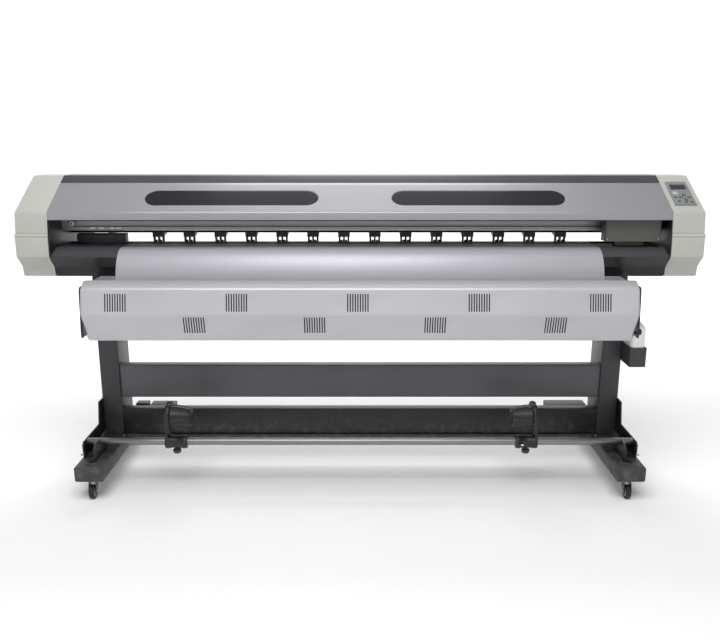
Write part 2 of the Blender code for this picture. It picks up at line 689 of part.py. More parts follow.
# ---------------------------------------------------------------- dryer
def make_dryer():
    """Fan dryer: an open-backed sheet case that tilts on two arms and is clamped by a knob."""
    rear = DRYER_BACK
    bottom = above(-DRYER_BOTTOM_DROP)
    crease_z = above(-DRYER_CREASE_DROP)
    outline = [(rear, bottom), (DRYER_FLOOR_FRONT, bottom), (DRYER_FRONT, crease_z),
               (DRYER_BROW_Y, above(-DRYER_BROW_DROP)), (rear, above(DRYER_TOP_H))]
    half = DRYER_HALF
    pivot = (0.0, PIVOT_Y, PIVOT_Z)
    shell = prism("dryer_shell", outline, -half, half, "silver")
    face_outward(shell)
    bm = bmesh.new()
    bm.from_mesh(shell.data)
    back = [f for f in bm.faces if all(abs(v.co.x - rear) < 1e-6 for v in f.verts)]
    bmesh.ops.delete(bm, geom=back, context="FACES")
    bm.to_mesh(shell.data)
    bm.free()
    thicken(shell, DRYER_SHEET)
    set_origin(shell, pivot)
    group_step = 2 * (half - VENT_MARGIN) / (VENT_GROUPS[0] - 1)
    reach = VENT_HEIGHT / 2 - VENT_FRAME
    vent_tools = []
    for row, (lift, groups, shift) in enumerate(zip(VENT_LIFTS, VENT_GROUPS, VENT_SHIFTS)):
        z = crease_z + lift
        for group in range(groups):
            middle = shift + (group - (groups - 1) / 2) * group_step
            for slot in range(VENT_SLOTS):
                x = middle + (slot - (VENT_SLOTS - 1) / 2) * VENT_PITCH
                vent_tools.append(box(
                    f"vent_{row}_{group}_{slot}",
                    (x - VENT_SLOT_WIDTH / 2, DRYER_FRONT - 0.02, z - reach),
                    (x + VENT_SLOT_WIDTH / 2, DRYER_FRONT + 0.04, z + reach)))
    slots = vent_tools[0]
    join_meshes(slots, vent_tools[1:])
    cut(shell, slots)
    pin_reach = half + GAP + ARM_THICKNESS
    for side, word in ((-1, "left"), (1, "right")):
        pin = rod(f"dryer_pin_{word}", (side * (half + pin_reach) / 2 - side * 0.003, PIVOT_Y, PIVOT_Z),
                  PIVOT_R, pin_reach - half + 0.006, "X", "steel", 16)
        join(shell, pin)
        make_dryer_arm(side, word)
    knob_z = PIVOT_Z - KNOB_DROP
    start = half + GAP
    grip = LEG_INNER + 0.0005
    knob = turned("dryer_knob", [(0.0, grip + 0.020), (KNOB_R - 0.002, grip + 0.020),
                                 (KNOB_R, grip + 0.017), (KNOB_R, grip + 0.004),
                                 (KNOB_R - 0.003, grip), (KNOB_STUD_R, grip),
                                 (KNOB_STUD_R, start), (0.0, start)],
                  (0.0, PIVOT_Y, knob_z), "X", "black", 16)
    smooth(knob)


def make_dryer_arm(side, word):
    """Arm plate from a leg's inner face to the dryer's end."""
    top = above(-0.007)
    arm_low = top - ARM_DEPTH
    foot_y = LEG_FRONT + 0.075
    knob_z = PIVOT_Z - KNOB_DROP
    near_y, far_y = PIVOT_Y + 0.011, PIVOT_Y - 0.037
    outline = [(foot_y, top), (PIVOT_Y - 0.012, top), (PIVOT_Y - 0.022, PIVOT_Z),
               (far_y, knob_z + 0.015), (far_y, knob_z - 0.015), (near_y, knob_z - 0.015),
               (near_y, knob_z + 0.012), (PIVOT_Y + 0.020, arm_low - 0.020),
               (PIVOT_Y + 0.045, arm_low), (foot_y, arm_low)]
    near = DRYER_HALF + GAP
    low, high = sorted((side * near, side * (near + ARM_THICKNESS)))
    arm = prism(f"dryer_arm_{word}", outline, low, high)
    middle = (low + high) / 2
    cut(arm, rod(f"pivot_hole_{word}", (middle, PIVOT_Y, PIVOT_Z), PIVOT_R + GAP,
                 3 * ARM_THICKNESS, "X", "steel", 16))
    if side > 0:
        cut(arm, box("clamp_slot", (low - 0.01, PIVOT_Y - 0.0285, knob_z - 0.0040),
                     (high + 0.01, PIVOT_Y + 0.0035, knob_z + 0.0060)))


def join_meshes(target, others):
    """Put the meshes of other boxes into one cutter, where they stay apart."""
    bm = bmesh.new()
    for obj in [target, *others]:
        start = len(bm.verts)
        bm.from_mesh(obj.data)
        bm.verts.ensure_lookup_table()
        for vert in bm.verts[start:]:
            vert.co += obj.location
    bm.to_mesh(target.data)
    bm.free()
    target.location = (0.0, 0.0, 0.0)
    for obj in others:
        bpy.data.objects.remove(obj)


# ---------------------------------------------------------------- stand
def make_stand():
    for side, word in ((-1, "left"), (1, "right")):
        low, high = sorted((side * LEG_INNER, side * LEG_OUTER))
        box_tube(f"leg_{word}", (low, LEG_FRONT, FOOT_TOP + GAP), (high, LEG_REAR, HEAD_BOTTOM),
                 LEG_WALL, "Z")
        middle = side * LEG_MIDDLE
        box_tube(f"foot_{word}", (middle - FOOT_WIDTH / 2, FOOT_FRONT, FOOT_BOTTOM),
                 (middle + FOOT_WIDTH / 2, FOOT_REAR, FOOT_TOP), FOOT_WALL, "Y", closed_end=True)
    end = LEG_INNER - GAP
    front = LEG_FRONT + 0.010
    box_tube("crossbar", (-end, front, CROSSBAR_BOTTOM),
             (end, front + BAR_DEPTH, CROSSBAR_BOTTOM + CROSSBAR_HEIGHT), LEG_WALL, "X")
    foot_inner = LEG_MIDDLE - FOOT_WIDTH / 2 - GAP
    web = box("lower_beam", (-end, LEG_FRONT, FOOT_TOP + GAP),
              (end, LEG_FRONT + BAR_DEPTH, LOWER_BEAM_TOP), "black")
    flange = box("beam_flange", (-foot_inner, LEG_FRONT - 0.012, FOOT_TOP - FLANGE_DROP),
                 (foot_inner, LEG_FRONT + BAR_DEPTH + 0.012, FOOT_TOP + 0.004))
    hollow = box("beam_hollow", (-end - 0.01, LEG_FRONT + LEG_WALL, FOOT_TOP + 0.010),
                 (end + 0.01, LEG_FRONT + BAR_DEPTH - LEG_WALL, LOWER_BEAM_TOP - LEG_WALL))
    join(web, flange)
    cut(web, hollow)


def make_waste_bottle():
    """Waste tray on the outside of the right leg, and the bottle that stands in it."""
    near = LEG_OUTER + GAP
    bracket_top = TUBE_Z + TUBE_R + BRACKET_RISE
    floor = bracket_top + TRAY_SHARE * (HEAD_BOTTOM - bracket_top)
    front = LEG_FRONT + 0.035 - TRAY_LENGTH
    low = (near, front, floor)
    high = (near + TRAY_WIDTH, front + TRAY_LENGTH, floor + TRAY_HEIGHT)
    box_tube("waste_tray", low, high, TRAY_WALL, "Z", "charcoal", closed_end=True)
    side = TRAY_WALL + BOTTLE_SIDE_GAP
    base = floor + TRAY_WALL + GAP
    middle = ((low[0] + high[0]) / 2, (low[1] + high[1]) / 2)
    bottle = box("waste_bottle", (low[0] + side, low[1] + side, base),
                 (high[0] - side, high[1] - side, base + BOTTLE_HEIGHT), "milky")
    cap = rod("bottle_cap", (*middle, base + BOTTLE_HEIGHT + CAP_HEIGHT / 2 - 0.003), CAP_R,
              CAP_HEIGHT + 0.003, "Z", "black", 20)
    join(bottle, cap)


# ---------------------------------------------------------------- take-up rail and core holders
def make_takeup():
    outer = LEG_OUTER + GAP
    inner_near = LEG_MIDDLE - 0.013
    base_z = FOOT_TOP + GAP
    saddle_top = TUBE_Z + TUBE_R
    for side, word in ((-1, "left"), (1, "right")):
        low, high = sorted((side * outer, side * (outer + BRACKET_PLATE)))
        outline = [(-0.233, base_z), (-0.238, base_z + 0.058), (-0.224, saddle_top - 0.002),
                   (-0.030, saddle_top), (-0.012, saddle_top + BRACKET_RISE),
                   (LEG_FRONT + 0.030, saddle_top + BRACKET_RISE), (LEG_FRONT + 0.030, base_z)]
        bracket = prism(f"takeup_bracket_{word}", outline, low, high, "black")
        low, high = sorted((side * inner_near, side * (inner_near + BRACKET_PLATE)))
        saddle = prism(f"saddle_{word}", [(-0.268, base_z), (-0.268, saddle_top - 0.018),
                                          (-0.250, saddle_top), (-0.100, saddle_top),
                                          (-0.090, saddle_top - 0.010), (-0.090, base_z)], low, high)
        low, high = sorted((side * (inner_near + 0.001), side * (outer + 0.001)))
        plinth = box(f"plinth_{word}", (low, -0.228, base_z), (high, -0.095, base_z + 0.006))
        join(bracket, saddle, plinth)
        seat_x = side * inner_near
        cut(bracket,
            rod(f"saddle_bore_{word}", (seat_x, TUBE_Y, TUBE_Z), TUBE_R + GAP,
                3 * BRACKET_PLATE, "X", "steel", 24),
            box(f"saddle_mouth_{word}",
                (seat_x - 2 * BRACKET_PLATE, TUBE_Y - TUBE_R - GAP, TUBE_Z + 0.0005),
                (seat_x + 2 * BRACKET_PLATE, TUBE_Y + TUBE_R + GAP, saddle_top + 0.02)))
    end = outer - GAP
    turned("media_rail", [(TUBE_R, end), (TUBE_R, -end), (TUBE_R - TUBE_WALL, -end),
                          (TUBE_R - TUBE_WALL, end)], (0.0, TUBE_Y, TUBE_Z), "X", "steel", 24)
    make_holder(-1, "left", HOLDER_LEFT_X)
    make_holder(1, "right", HOLDER_RIGHT_X)


def make_holder(side, word, x):
    """Clamp collar on the rail, its arm and stub axle, and the core cone that turns on it."""
    bore = TUBE_R + GAP
    half = COLLAR_LENGTH / 2
    collar = turned(f"roll_holder_{word}", [(COLLAR_R, half), (COLLAR_R, -half), (bore, -half),
                                            (bore, half)], (x, TUBE_Y, TUBE_Z), "X", "black", 24)
    core_z = TUBE_Z + HOLDER_RISE
    arm_far = x + side * (half - 0.001)
    arm_near = arm_far - side * HOLDER_ARM
    low, high = sorted((arm_near, arm_far))
    arm = prism(f"holder_arm_{word}",
                [(TUBE_Y - 0.020, TUBE_Z + 0.019), (TUBE_Y - 0.016, core_z + 0.010),
                 (TUBE_Y - 0.008, core_z + 0.018), (TUBE_Y + 0.008, core_z + 0.018),
                 (TUBE_Y + 0.016, core_z + 0.010), (TUBE_Y + 0.020, TUBE_Z + 0.019)], low, high)
    stub_end = arm_near - side * (CONE_LENGTH + 0.004)
    stub = rod(f"holder_stub_{word}", ((arm_far + stub_end) / 2 - side * 0.003, TUBE_Y, core_z),
               STUB_R, abs(arm_far - stub_end) - 0.006, "X", "black", 16)
    screw = rod(f"holder_screw_{word}", (x, TUBE_Y, TUBE_Z - 0.036), 0.012, 0.030, "Z", "black", 12)
    join(collar, arm, stub, screw)
    near = arm_near - side * GAP
    cone_bore = STUB_R + GAP
    flange = 0.018
    shape = [(cone_bore, 0.0), (CONE_FLANGE_R, 0.0), (CONE_FLANGE_R, flange),
             (CONE_BODY_R, flange), (CONE_BODY_R, 0.45 * CONE_LENGTH),
             (CONE_TIP_R, CONE_LENGTH), (cone_bore, CONE_LENGTH)]
    profile = [(radius, -side * along) for radius, along in shape]
    if side < 0:
        profile.reverse()
    turned(f"roll_cone_{word}", profile, (near, TUBE_Y, core_z), "X", "black", 24)


# ---------------------------------------------------------------- casters
def make_casters():
    for side, word in ((-1, "left"), (1, "right")):
        for front, end_word, y in ((-1, "front", CASTER_FRONT_Y), (1, "rear", CASTER_REAR_Y)):
            make_caster(f"{end_word}_{word}", side * LEG_MIDDLE, y, front * CASTER_TRAIL)


def make_caster(name, x, y, trail):
    disc_top = FOOT_BOTTOM - GAP
    fork = rod(f"caster_fork_{name}", (x, y, disc_top - 0.005), FORK_DISC_R, 0.010, "Z", "black", 20)
    inside = WHEEL_WIDTH / 2 + 0.0015
    way = math.copysign(1.0, trail)
    outline = [(y - way * 0.016, disc_top - 0.006), (y + way * 0.016, disc_top - 0.006),
               (y + trail + way * 0.011, WHEEL_R + 0.004),
               (y + trail + way * 0.008, WHEEL_R - 0.009),
               (y + trail - way * 0.008, WHEEL_R - 0.009)]
    for side in (-1, 1):
        low, high = sorted((x + side * inside, x + side * (inside + FORK_CHEEK)))
        join(fork, prism(f"cheek_{name}_{side}", outline, low, high))
    axle = rod(f"axle_{name}", (x, y + trail, WHEEL_R), AXLE_R, 2 * inside + 1.6 * FORK_CHEEK, "X",
               "steel", 16)
    join(fork, axle)
    set_origin(fork, (x, y, disc_top))
    half = WHEEL_WIDTH / 2
    bevel = 0.004
    wheel = turned(f"caster_wheel_{name}",
                   [(WHEEL_R - bevel, half), (WHEEL_R, half - bevel), (WHEEL_R, bevel - half),
                    (WHEEL_R - bevel, -half), (AXLE_R + GAP, -half), (AXLE_R + GAP, half)],
                   (x, y + trail, WHEEL_R), "X", "rubber", 28)
    smooth(wheel)


# ---------------------------------------------------------------- control panel
def make_panel():
    """Panel on the right end cover's slope, with a display and four arrow keys."""
    mount = bpy.data.objects.new("panel_place", None)
    PARTS.objects.link(mount)
    mount.location = (MACHINE_LENGTH / 2 - END_COVER_WIDTH / 2 - 0.0035, *on_slope(PANEL_Y))
    mount.rotation_euler = (SLOPE, 0.0, 0.0)

    def slab(name, u, v, width, height, low, high, look):
        piece = box(name, (u - width / 2, v - height / 2, low), (u + width / 2, v + height / 2, high),
                    look)
        piece.parent = mount
        return piece

    top = PANEL_DEPTH + GAP
    panel = slab("control_panel", 0.0, 0.0, PANEL_WIDTH, PANEL_LENGTH, GAP, top, "charcoal")
    recess = 0.0018
    cut(panel, slab("display_pocket", 0.0, DISPLAY_V, DISPLAY_WIDTH + 2 * GAP,
                    DISPLAY_HEIGHT + 2 * GAP, recess, top + 0.01, "black"))
    slab("display", 0.0, DISPLAY_V, DISPLAY_WIDTH, DISPLAY_HEIGHT, recess + GAP, top + 0.0003, "smoke")
    key_low = KEY_TRAVEL + 0.0007
    for word, u, v in (("left", -1, 0), ("right", 1, 0), ("up", 0, 1), ("down", 0, -1)):
        place = (0.010 + u * KEY_SPREAD, KEY_V + v * KEY_SPREAD)
        cut(panel, slab(f"key_hole_{word}", *place, KEY_WIDTH + 2 * GAP, KEY_HEIGHT + 2 * GAP,
                        -0.01, top + 0.01, "black"))
        slab(f"key_{word}", *place, KEY_WIDTH, KEY_HEIGHT, key_low, top + KEY_TRAVEL + 0.0003, "black")


# ---------------------------------------------------------------- run
clear_scene()
PARTS = collection("roll_printer")
CUTTERS = collection("cutters")
make_chassis()
make_end_covers()
make_lower_covers()
make_top_covers()
make_media_path()
make_pinch_bank()
make_carriage()
make_carriage_drive()
make_dryer()
make_stand()
make_waste_bottle()
make_takeup()
make_casters()
make_panel()
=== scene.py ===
# Looks of a wide-format roll printer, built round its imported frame.
# Lengths are metres; -Y is the front, X runs along the print direction.
import math

import bmesh
import bpy
import numpy as np
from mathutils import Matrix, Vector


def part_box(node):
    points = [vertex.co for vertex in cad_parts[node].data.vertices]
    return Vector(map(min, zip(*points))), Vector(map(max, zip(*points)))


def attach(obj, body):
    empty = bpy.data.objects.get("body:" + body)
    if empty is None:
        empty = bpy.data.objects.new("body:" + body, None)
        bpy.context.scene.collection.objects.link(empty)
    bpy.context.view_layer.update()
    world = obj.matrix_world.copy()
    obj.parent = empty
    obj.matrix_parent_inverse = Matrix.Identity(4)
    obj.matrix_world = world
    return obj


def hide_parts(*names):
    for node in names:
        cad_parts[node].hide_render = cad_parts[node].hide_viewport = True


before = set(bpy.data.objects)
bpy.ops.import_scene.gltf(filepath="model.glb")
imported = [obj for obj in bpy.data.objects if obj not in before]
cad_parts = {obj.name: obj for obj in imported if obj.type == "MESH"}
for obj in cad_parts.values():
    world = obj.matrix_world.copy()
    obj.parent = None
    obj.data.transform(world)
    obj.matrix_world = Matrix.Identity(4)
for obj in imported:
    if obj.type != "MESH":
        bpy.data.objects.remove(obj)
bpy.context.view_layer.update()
print("frame loaded:", len(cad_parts), "nodes")


def edges(node):
    # lowest and highest corner of a frame node as two arrays
    low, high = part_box(node)
    return np.array(low), np.array(high)


def middleOf(node):
    low, high = edges(node)
    return (low + high) / 2


def linked(name, data):
    made = bpy.data.objects.new(name, data)
    bpy.context.scene.collection.objects.link(made)
    return made


# camera
view = {"height": 1.477, "back": 3.175, "pitch": 13.96, "roll": 0.0, "lens": 38.0}


def makeCamera():
    data = bpy.data.cameras.new("camera")
    data.lens = view["lens"]
    data.sensor_width = 36.0
    camera = linked("camera", data)
    camera.location = (0.0, -view["back"], view["height"])
    camera.rotation_euler = (math.radians(90 - view["pitch"]), math.radians(view["roll"]), 0.0)
    bpy.context.scene.camera = camera


makeCamera()


# shader writing
def linear(red, green, blue):
    # screen colour, 0 to 255, to the linear values that shaders use
    parts = [value / 255 for value in (red, green, blue)]
    return [p / 12.92 if p <= 0.04045 else ((p + 0.055) / 1.055) ** 2.4 for p in parts] + [1.0]


class Flow:
    # one socket of a shader, so that maths on it adds Math nodes
    def __init__(self, shader, socket):
        self.shader = shader
        self.socket = socket

    def maths(self, operation, first, second=0.0):
        return self.shader.node("ShaderNodeMath", {"operation": operation}, {0: first, 1: second})

    def __add__(self, other):
        return self.maths("ADD", self, other)

    __radd__ = __add__

    def __mul__(self, other):
        return self.maths("MULTIPLY", self, other)

    __rmul__ = __mul__

    def __sub__(self, other):
        return self.maths("SUBTRACT", self, other)

    def __rsub__(self, other):
        return self.maths("SUBTRACT", other, self)

    def absolute(self):
        return self.maths("ABSOLUTE", self)

    def wrapped(self):
        return self.maths("FRACT", self)

    def between(self, low, high):
        # smooth rise from 0 at low to 1 at high
        settings = {"interpolation_type": "SMOOTHSTEP"}
        return self.shader.node("ShaderNodeMapRange", settings, {"Value": self, 1: low, 2: high})


class Shader:
    # one material; node() makes every node in it
    def __init__(self, name):
        self.material = bpy.data.materials.new(name)
        self.material.use_nodes = True
        self.tree = self.material.node_tree
        self.surface = self.tree.nodes["Principled BSDF"]
        self.place = self.node("ShaderNodeTexCoord", {}, {}, "Object")

    def node(self, kind, settings, inputs, output=0):
        made = self.tree.nodes.new(kind)
        for key, value in settings.items():
            setattr(made, key, value)
        for key, value in inputs.items():
            self.feed(made.inputs[key], value)
        return Flow(self, made.outputs[output])

    def feed(self, socket, value):
        if isinstance(value, Flow):
            self.tree.links.new(value.socket, socket)
        else:
            socket.default_value = value

    def set(self, **values):
        for key, value in values.items():
            self.feed(self.surface.inputs[key.replace("_", " ")], value)
        return self.material

    def axis(self, letter):
        return self.node("ShaderNodeSeparateXYZ", {}, {0: self.place}, letter)

    def stretched(self, x, y, z):
        return self.node("ShaderNodeMapping", {}, {"Vector": self.place, "Scale": (x, y, z)})

    def noise(self, scale, detail=2.0, rough=0.5, place=None):
        return self.node("ShaderNodeTexNoise", {}, {"Vector": place or self.place, "Scale": scale,
                                                    "Detail": detail, "Roughness": rough})

    def mix(self, factor, first, second):
        return self.node("ShaderNodeMix", {"data_type": "RGBA"}, {0: factor, 6: first, 7: second}, 2)

    def bump(self, height, strength, distance):
        return self.node("ShaderNodeBump", {}, {"Height": height, "Strength": strength,
                                                "Distance": distance})


# finishes
def paintedFinish(name, colour, shade, rough, metal, grain, grainDepth, coat=0.0, dustBelow=None,
                  paintedLightAbove=None):
    # sprayed or moulded skin: slow tone drift, fine grain, faint rubbed patches, dust low down, and painted
    # light above a given height
    s = Shader(name)
    drift = s.noise(2.3, 3.0)
    speck = s.noise(grain, 2.0)
    tone = s.mix(drift.between(0.3, 0.7), linear(*colour), linear(*[c * shade for c in colour]))
    tone = s.mix((speck - 0.5).absolute() * 0.35, tone, linear(*[min(255, c * 1.12) for c in colour]))
    rubbed = s.noise(9.0, 5.0, 0.65).between(0.60, 0.78)
    if dustBelow is not None:
        dust = (1 - s.axis("Z").between(0.0, dustBelow)) * s.noise(30.0, 4.0, 0.7).between(0.45, 0.7)
        tone = s.mix(dust * 0.35, tone, linear(140, 136, 128))
    if paintedLightAbove is not None:
        # painted light: above this height the tone turns paler, standing in for the light that falls on the
        # upper facets
        tone = s.mix(s.axis("Z").between(paintedLightAbove - 0.001, paintedLightAbove + 0.002) * 0.45, tone,
                     linear(106, 105, 110))
    return s.set(Base_Color=tone, Roughness=rough + rubbed * 0.07 + (speck - 0.5) * 0.08,
                 Metallic=metal, Coat_Weight=coat, Coat_Roughness=0.25,
                 Normal=s.bump(speck, grainDepth, 0.0004))


def brushedFinish(name, colour, rough, along, metal=1.0, streak=0.10):
    # metal drawn or ground along one axis: long thin streaks
    s = Shader(name)
    scale = [260.0, 260.0, 260.0]
    scale["XYZ".index(along)] = 3.0
    lines = s.noise(1.0, 4.0, 0.6, s.stretched(*scale))
    cloud = s.noise(5.0, 3.0)
    tone = s.mix(lines.between(0.25, 0.75), linear(*[c * (1 - streak) for c in colour]), linear(*colour))
    return s.set(Base_Color=tone, Metallic=metal, Roughness=rough + (lines - 0.5) * 0.12 + cloud * 0.06,
                 Normal=s.bump(lines, 0.12, 0.0002))


def smokedFinish(name):
    # tinted acrylic: nearly black, polished, with a faint haze of wiping marks
    s = Shader(name)
    wipe = s.noise(1.0, 4.0, 0.6, s.stretched(6.0, 40.0, 40.0))
    haze = s.noise(3.0, 2.0).between(0.35, 0.75)
    tone = s.mix(haze, linear(22, 20, 26), linear(29, 27, 33))
    return s.set(Base_Color=tone, Roughness=0.16 + wipe * 0.07, Coat_Weight=0.4, Coat_Roughness=0.08,
                 Specular_IOR_Level=0.35)


def platenFinish(name):
    # hard-anodised plate with rows of small suction holes, each a dented dark dot of painted shade
    s = Shader(name)
    grain = s.noise(500.0, 2.0)
    across = ((s.axis("X") * 50.0).wrapped() - 0.5).absolute()
    deep = ((s.axis("Y") * 50.0).wrapped() - 0.5).absolute()
    hole = 1 - (across * across + deep * deep).between(0.004, 0.008)
    tone = s.mix(s.noise(6.0, 3.0), linear(122, 132, 130), linear(140, 150, 147))
    # painted shade: dark colour where the holes are
    tone = s.mix(hole, tone, linear(30, 32, 33))
    return s.set(Base_Color=tone, Metallic=0.35, Roughness=0.42 + grain * 0.1,
                 Normal=s.bump(grain * 0.1 - hole, 0.5, 0.0006))


def rubberFinish(name, colour):
    s = Shader(name)
    grain = s.noise(420.0, 3.0, 0.6)
    dust = s.noise(40.0, 4.0, 0.7).between(0.5, 0.75)
    tone = s.mix(dust * 0.4, linear(*colour), linear(96, 93, 88))
    return s.set(Base_Color=tone, Roughness=0.68 + grain * 0.15, Normal=s.bump(grain, 0.3, 0.0004))


def milkyFinish(name, inkTop):
    # natural plastic bottle that shows the level of the waste ink inside
    s = Shader(name)
    ripple = s.noise(35.0, 2.0)
    level = 1 - (s.axis("Z") + ripple * 0.002).between(inkTop - 0.002, inkTop + 0.002)
    tone = s.mix(level * 0.55, linear(226, 230, 228), linear(96, 90, 118))
    return s.set(Base_Color=tone, Roughness=0.32 + ripple * 0.1, Coat_Weight=0.2,
                 Normal=s.bump(ripple, 0.15, 0.001))


def displayFinish(name):
    # unlit liquid-crystal window with faint cell rows
    s = Shader(name)
    rows = ((s.axis("X") * 420.0).wrapped() - 0.5).absolute() * 2
    tone = s.mix(rows * 0.35, linear(38, 42, 44), linear(58, 66, 64))
    sheen = s.noise(25.0, 2.0)
    return s.set(Base_Color=tone, Roughness=0.16 + sheen * 0.1, Coat_Weight=0.6)


def lampFinish(name, colour, glow):
    s = Shader(name)
    core = s.noise(180.0, 2.0)
    tone = s.mix(core, linear(*colour), linear(*[c * 0.85 for c in colour]))
    return s.set(Base_Color=tone, Roughness=0.3 + core * 0.1, Emission_Color=tone,
                 Emission_Strength=glow)


painted = {
    # name: material, colour, shade, roughness, metal, grain, grain depth, coat, dust below
    "ivory": ("ivory_moulding", (178, 178, 172), 0.975, 0.42, 0.0, 620.0, 0.16),
    "silver": ("silver_paint", (151, 150, 154), 0.975, 0.36, 0.25, 1500.0, 0.06, 0.25),
    "charcoal": ("charcoal_coat", (57, 57, 60), 0.93, 0.46, 0.1, 520.0, 0.22, 0.0, 0.30),
    "dryerPaint": ("dryer_paint", (184, 183, 187), 0.975, 0.38, 0.2, 1500.0, 0.06, 0.2),
    "darkTop": ("dark_top_coat", (72, 72, 74), 0.95, 0.42, 0.1, 620.0, 0.16),
    # crossbar: the stand's charcoal coat made lighter, painted light for the light that falls on the crossbar
    "crossbar": ("crossbar_coat", (92, 91, 96), 0.94, 0.46, 0.1, 520.0, 0.22, 0.0, 0.30),
    "carriage": ("carriage_coat", (86, 85, 83), 0.95, 0.50, 0.0, 620.0, 0.16),
    "black": ("black_moulding", (25, 25, 28), 0.9, 0.42, 0.0, 560.0, 0.18, 0.0, 0.25),
    "panel": ("panel_overlay", (124, 126, 127), 0.97, 0.45, 0.0, 900.0, 0.1),
    "hubGrey": ("hub_moulding", (150, 150, 150), 0.94, 0.45, 0.1, 600.0, 0.14),
    "blackGloss": ("black_gloss_moulding", (28, 28, 31), 0.95, 0.24, 0.0, 700.0, 0.06, 0.35),
    # pale strips: painted highlight on lit edges, the beam's lower flange and the brackets' slots
    "highlightStrip": ("pale_cut_edge", (212, 212, 214), 0.96, 0.40, 0.2, 900.0, 0.05),
    # paler wire round the foot slot: painted highlight on the slot's edge
    "rimHighlight": ("worn_dark_edge", (92, 92, 95), 0.95, 0.42, 0.2, 700.0, 0.10),
    # lower beam: the stand coat made darker, painted shade for the shade under the crossbar
    "beamShaded": ("lower_beam_coat", (33, 33, 36), 0.92, 0.42, 0.1, 520.0, 0.20, 0.0, 0.30),
    "notch": ("pale_cap_moulding", (168, 168, 166), 0.95, 0.50, 0.0, 800.0, 0.10),
    "key": ("key_moulding", (52, 54, 57), 0.95, 0.38, 0.0, 900.0, 0.08, 0.1),
    "strip": ("cutting_strip", (214, 214, 206), 0.96, 0.60, 0.0, 700.0, 0.10),
    "rotor": ("fan_rotor", (40, 40, 43), 0.95, 0.5, 0.0, 700.0, 0.08),
}
finishes = {name: paintedFinish(*values) for name, values in painted.items()}
# height of the lower covers' upper facet; above it their coat carries painted light
coverFacet = edges("end_cover_left")[0][2] + 0.085
finishes |= {
    "lowerCover": paintedFinish("lower_cover_coat", (16, 16, 21), 0.93, 0.40, 0.05, 700.0, 0.12,
                                paintedLightAbove=coverFacet),
    "apron": brushedFinish("apron_satin", (176, 176, 182), 0.40, "X", 0.2, 0.03),
    "beam": brushedFinish("beam_anodised", (150, 150, 152), 0.36, "X", 0.7, 0.08),
    "steel": brushedFinish("ground_steel", (188, 188, 190), 0.26, "X"),
    "tube": brushedFinish("drawn_tube", (140, 140, 142), 0.30, "X", 0.9, 0.05),
    "hub": brushedFinish("hub_steel", (200, 200, 202), 0.24, "Y"),
    "smoke": smokedFinish("smoked_acrylic"),
    "platen": platenFinish("platen_anodised"),
    "rubber": rubberFinish("tread_rubber", (32, 32, 34)),
    "felt": rubberFinish("cap_felt", (92, 88, 92)),
    "belt": rubberFinish("belt_rubber", (26, 26, 28)),
    "grit": brushedFinish("grit_roller", (132, 132, 132), 0.55, "Y", 0.8, 0.12),
    "scale": brushedFinish("scale_film", (120, 118, 108), 0.22, "Z", 0.1, 0.4),
    "milky": milkyFinish("milky_bottle", edges("waste_bottle")[0][2] + 0.055),
    "display": displayFinish("display_glass"),
    # status-bar lamps; the same glow on the clamp lever's tip is a painted glint
    "lamp": lampFinish("status_lamp_and_lever_glint", (205, 222, 210), 0.15),
    "print": lampFinish("panel_marking", (214, 216, 216), 0.0),
}
print("finishes made:", len(finishes))


# surface writing
def meshObject(name, points, faces, outward=True):
    mesh = bpy.data.meshes.new(name)
    mesh.from_pydata(points.tolist(), [], faces)
    if outward:
        shape = bmesh.new()
        shape.from_mesh(mesh)
        bmesh.ops.remove_doubles(shape, verts=shape.verts, dist=0.00001)
        bmesh.ops.recalc_face_normals(shape, faces=shape.faces)
        shape.to_mesh(mesh)
        shape.free()
    return linked(name, mesh)


def gridFaces(rows, columns, wrapRows=False, wrapColumns=False, start=0):
    # quads of a grid whose points run row by row
    r = np.arange(rows if wrapRows else rows - 1)
    c = np.arange(columns if wrapColumns else columns - 1)
    r, c = np.meshgrid(r, c, indexing="ij")
    nextR, nextC = (r + 1) % rows, (c + 1) % columns
    quads = np.stack([r * columns + c, r * columns + nextC, nextR * columns + nextC,
                      nextR * columns + c], axis=-1)
    return (quads.reshape(-1, 4) + start).tolist()


def capped(rows, size):
    # closed rings joined row by row, with a flat cap at each end
    last = (rows - 1) * size
    ends = [list(range(size))[::-1], list(range(last, last + size))]
    return gridFaces(rows, size, wrapColumns=True) + ends


def rectangle(low, high):
    # corners in turn, from the (u, v) of two opposite ones
    return [(low[0], low[1]), (high[0], low[1]), (high[0], high[1]), (low[0], high[1])]


def rounded(corners, radius, steps=4):
    # outline with each corner replaced by an arc that touches both of its sides
    corners = np.array(corners, float)
    radii = np.broadcast_to(radius, (len(corners),))
    parts = []
    for i, corner in enumerate(corners):
        back = corners[i - 1] - corner
        ahead = corners[(i + 1) % len(corners)] - corner
        back, ahead = back / np.linalg.norm(back), ahead / np.linalg.norm(ahead)
        half = math.acos(np.clip(back @ ahead, -1, 1)) / 2
        if radii[i] <= 0 or half > math.radians(89):
            parts.append(corner[None])
            continue
        reach = radii[i] / math.tan(half)
        middle = corner + (back + ahead) / np.linalg.norm(back + ahead) * radii[i] / math.sin(half)
        start, end = corner + back * reach - middle, corner + ahead * reach - middle
        t = np.linspace(0, 1, steps + 1)[:, None]
        sweep = math.pi - 2 * half
        arc = np.sin((1 - t) * sweep) * start + np.sin(t * sweep) * end
        parts.append(middle + arc / math.sin(sweep))
    return np.concatenate(parts)


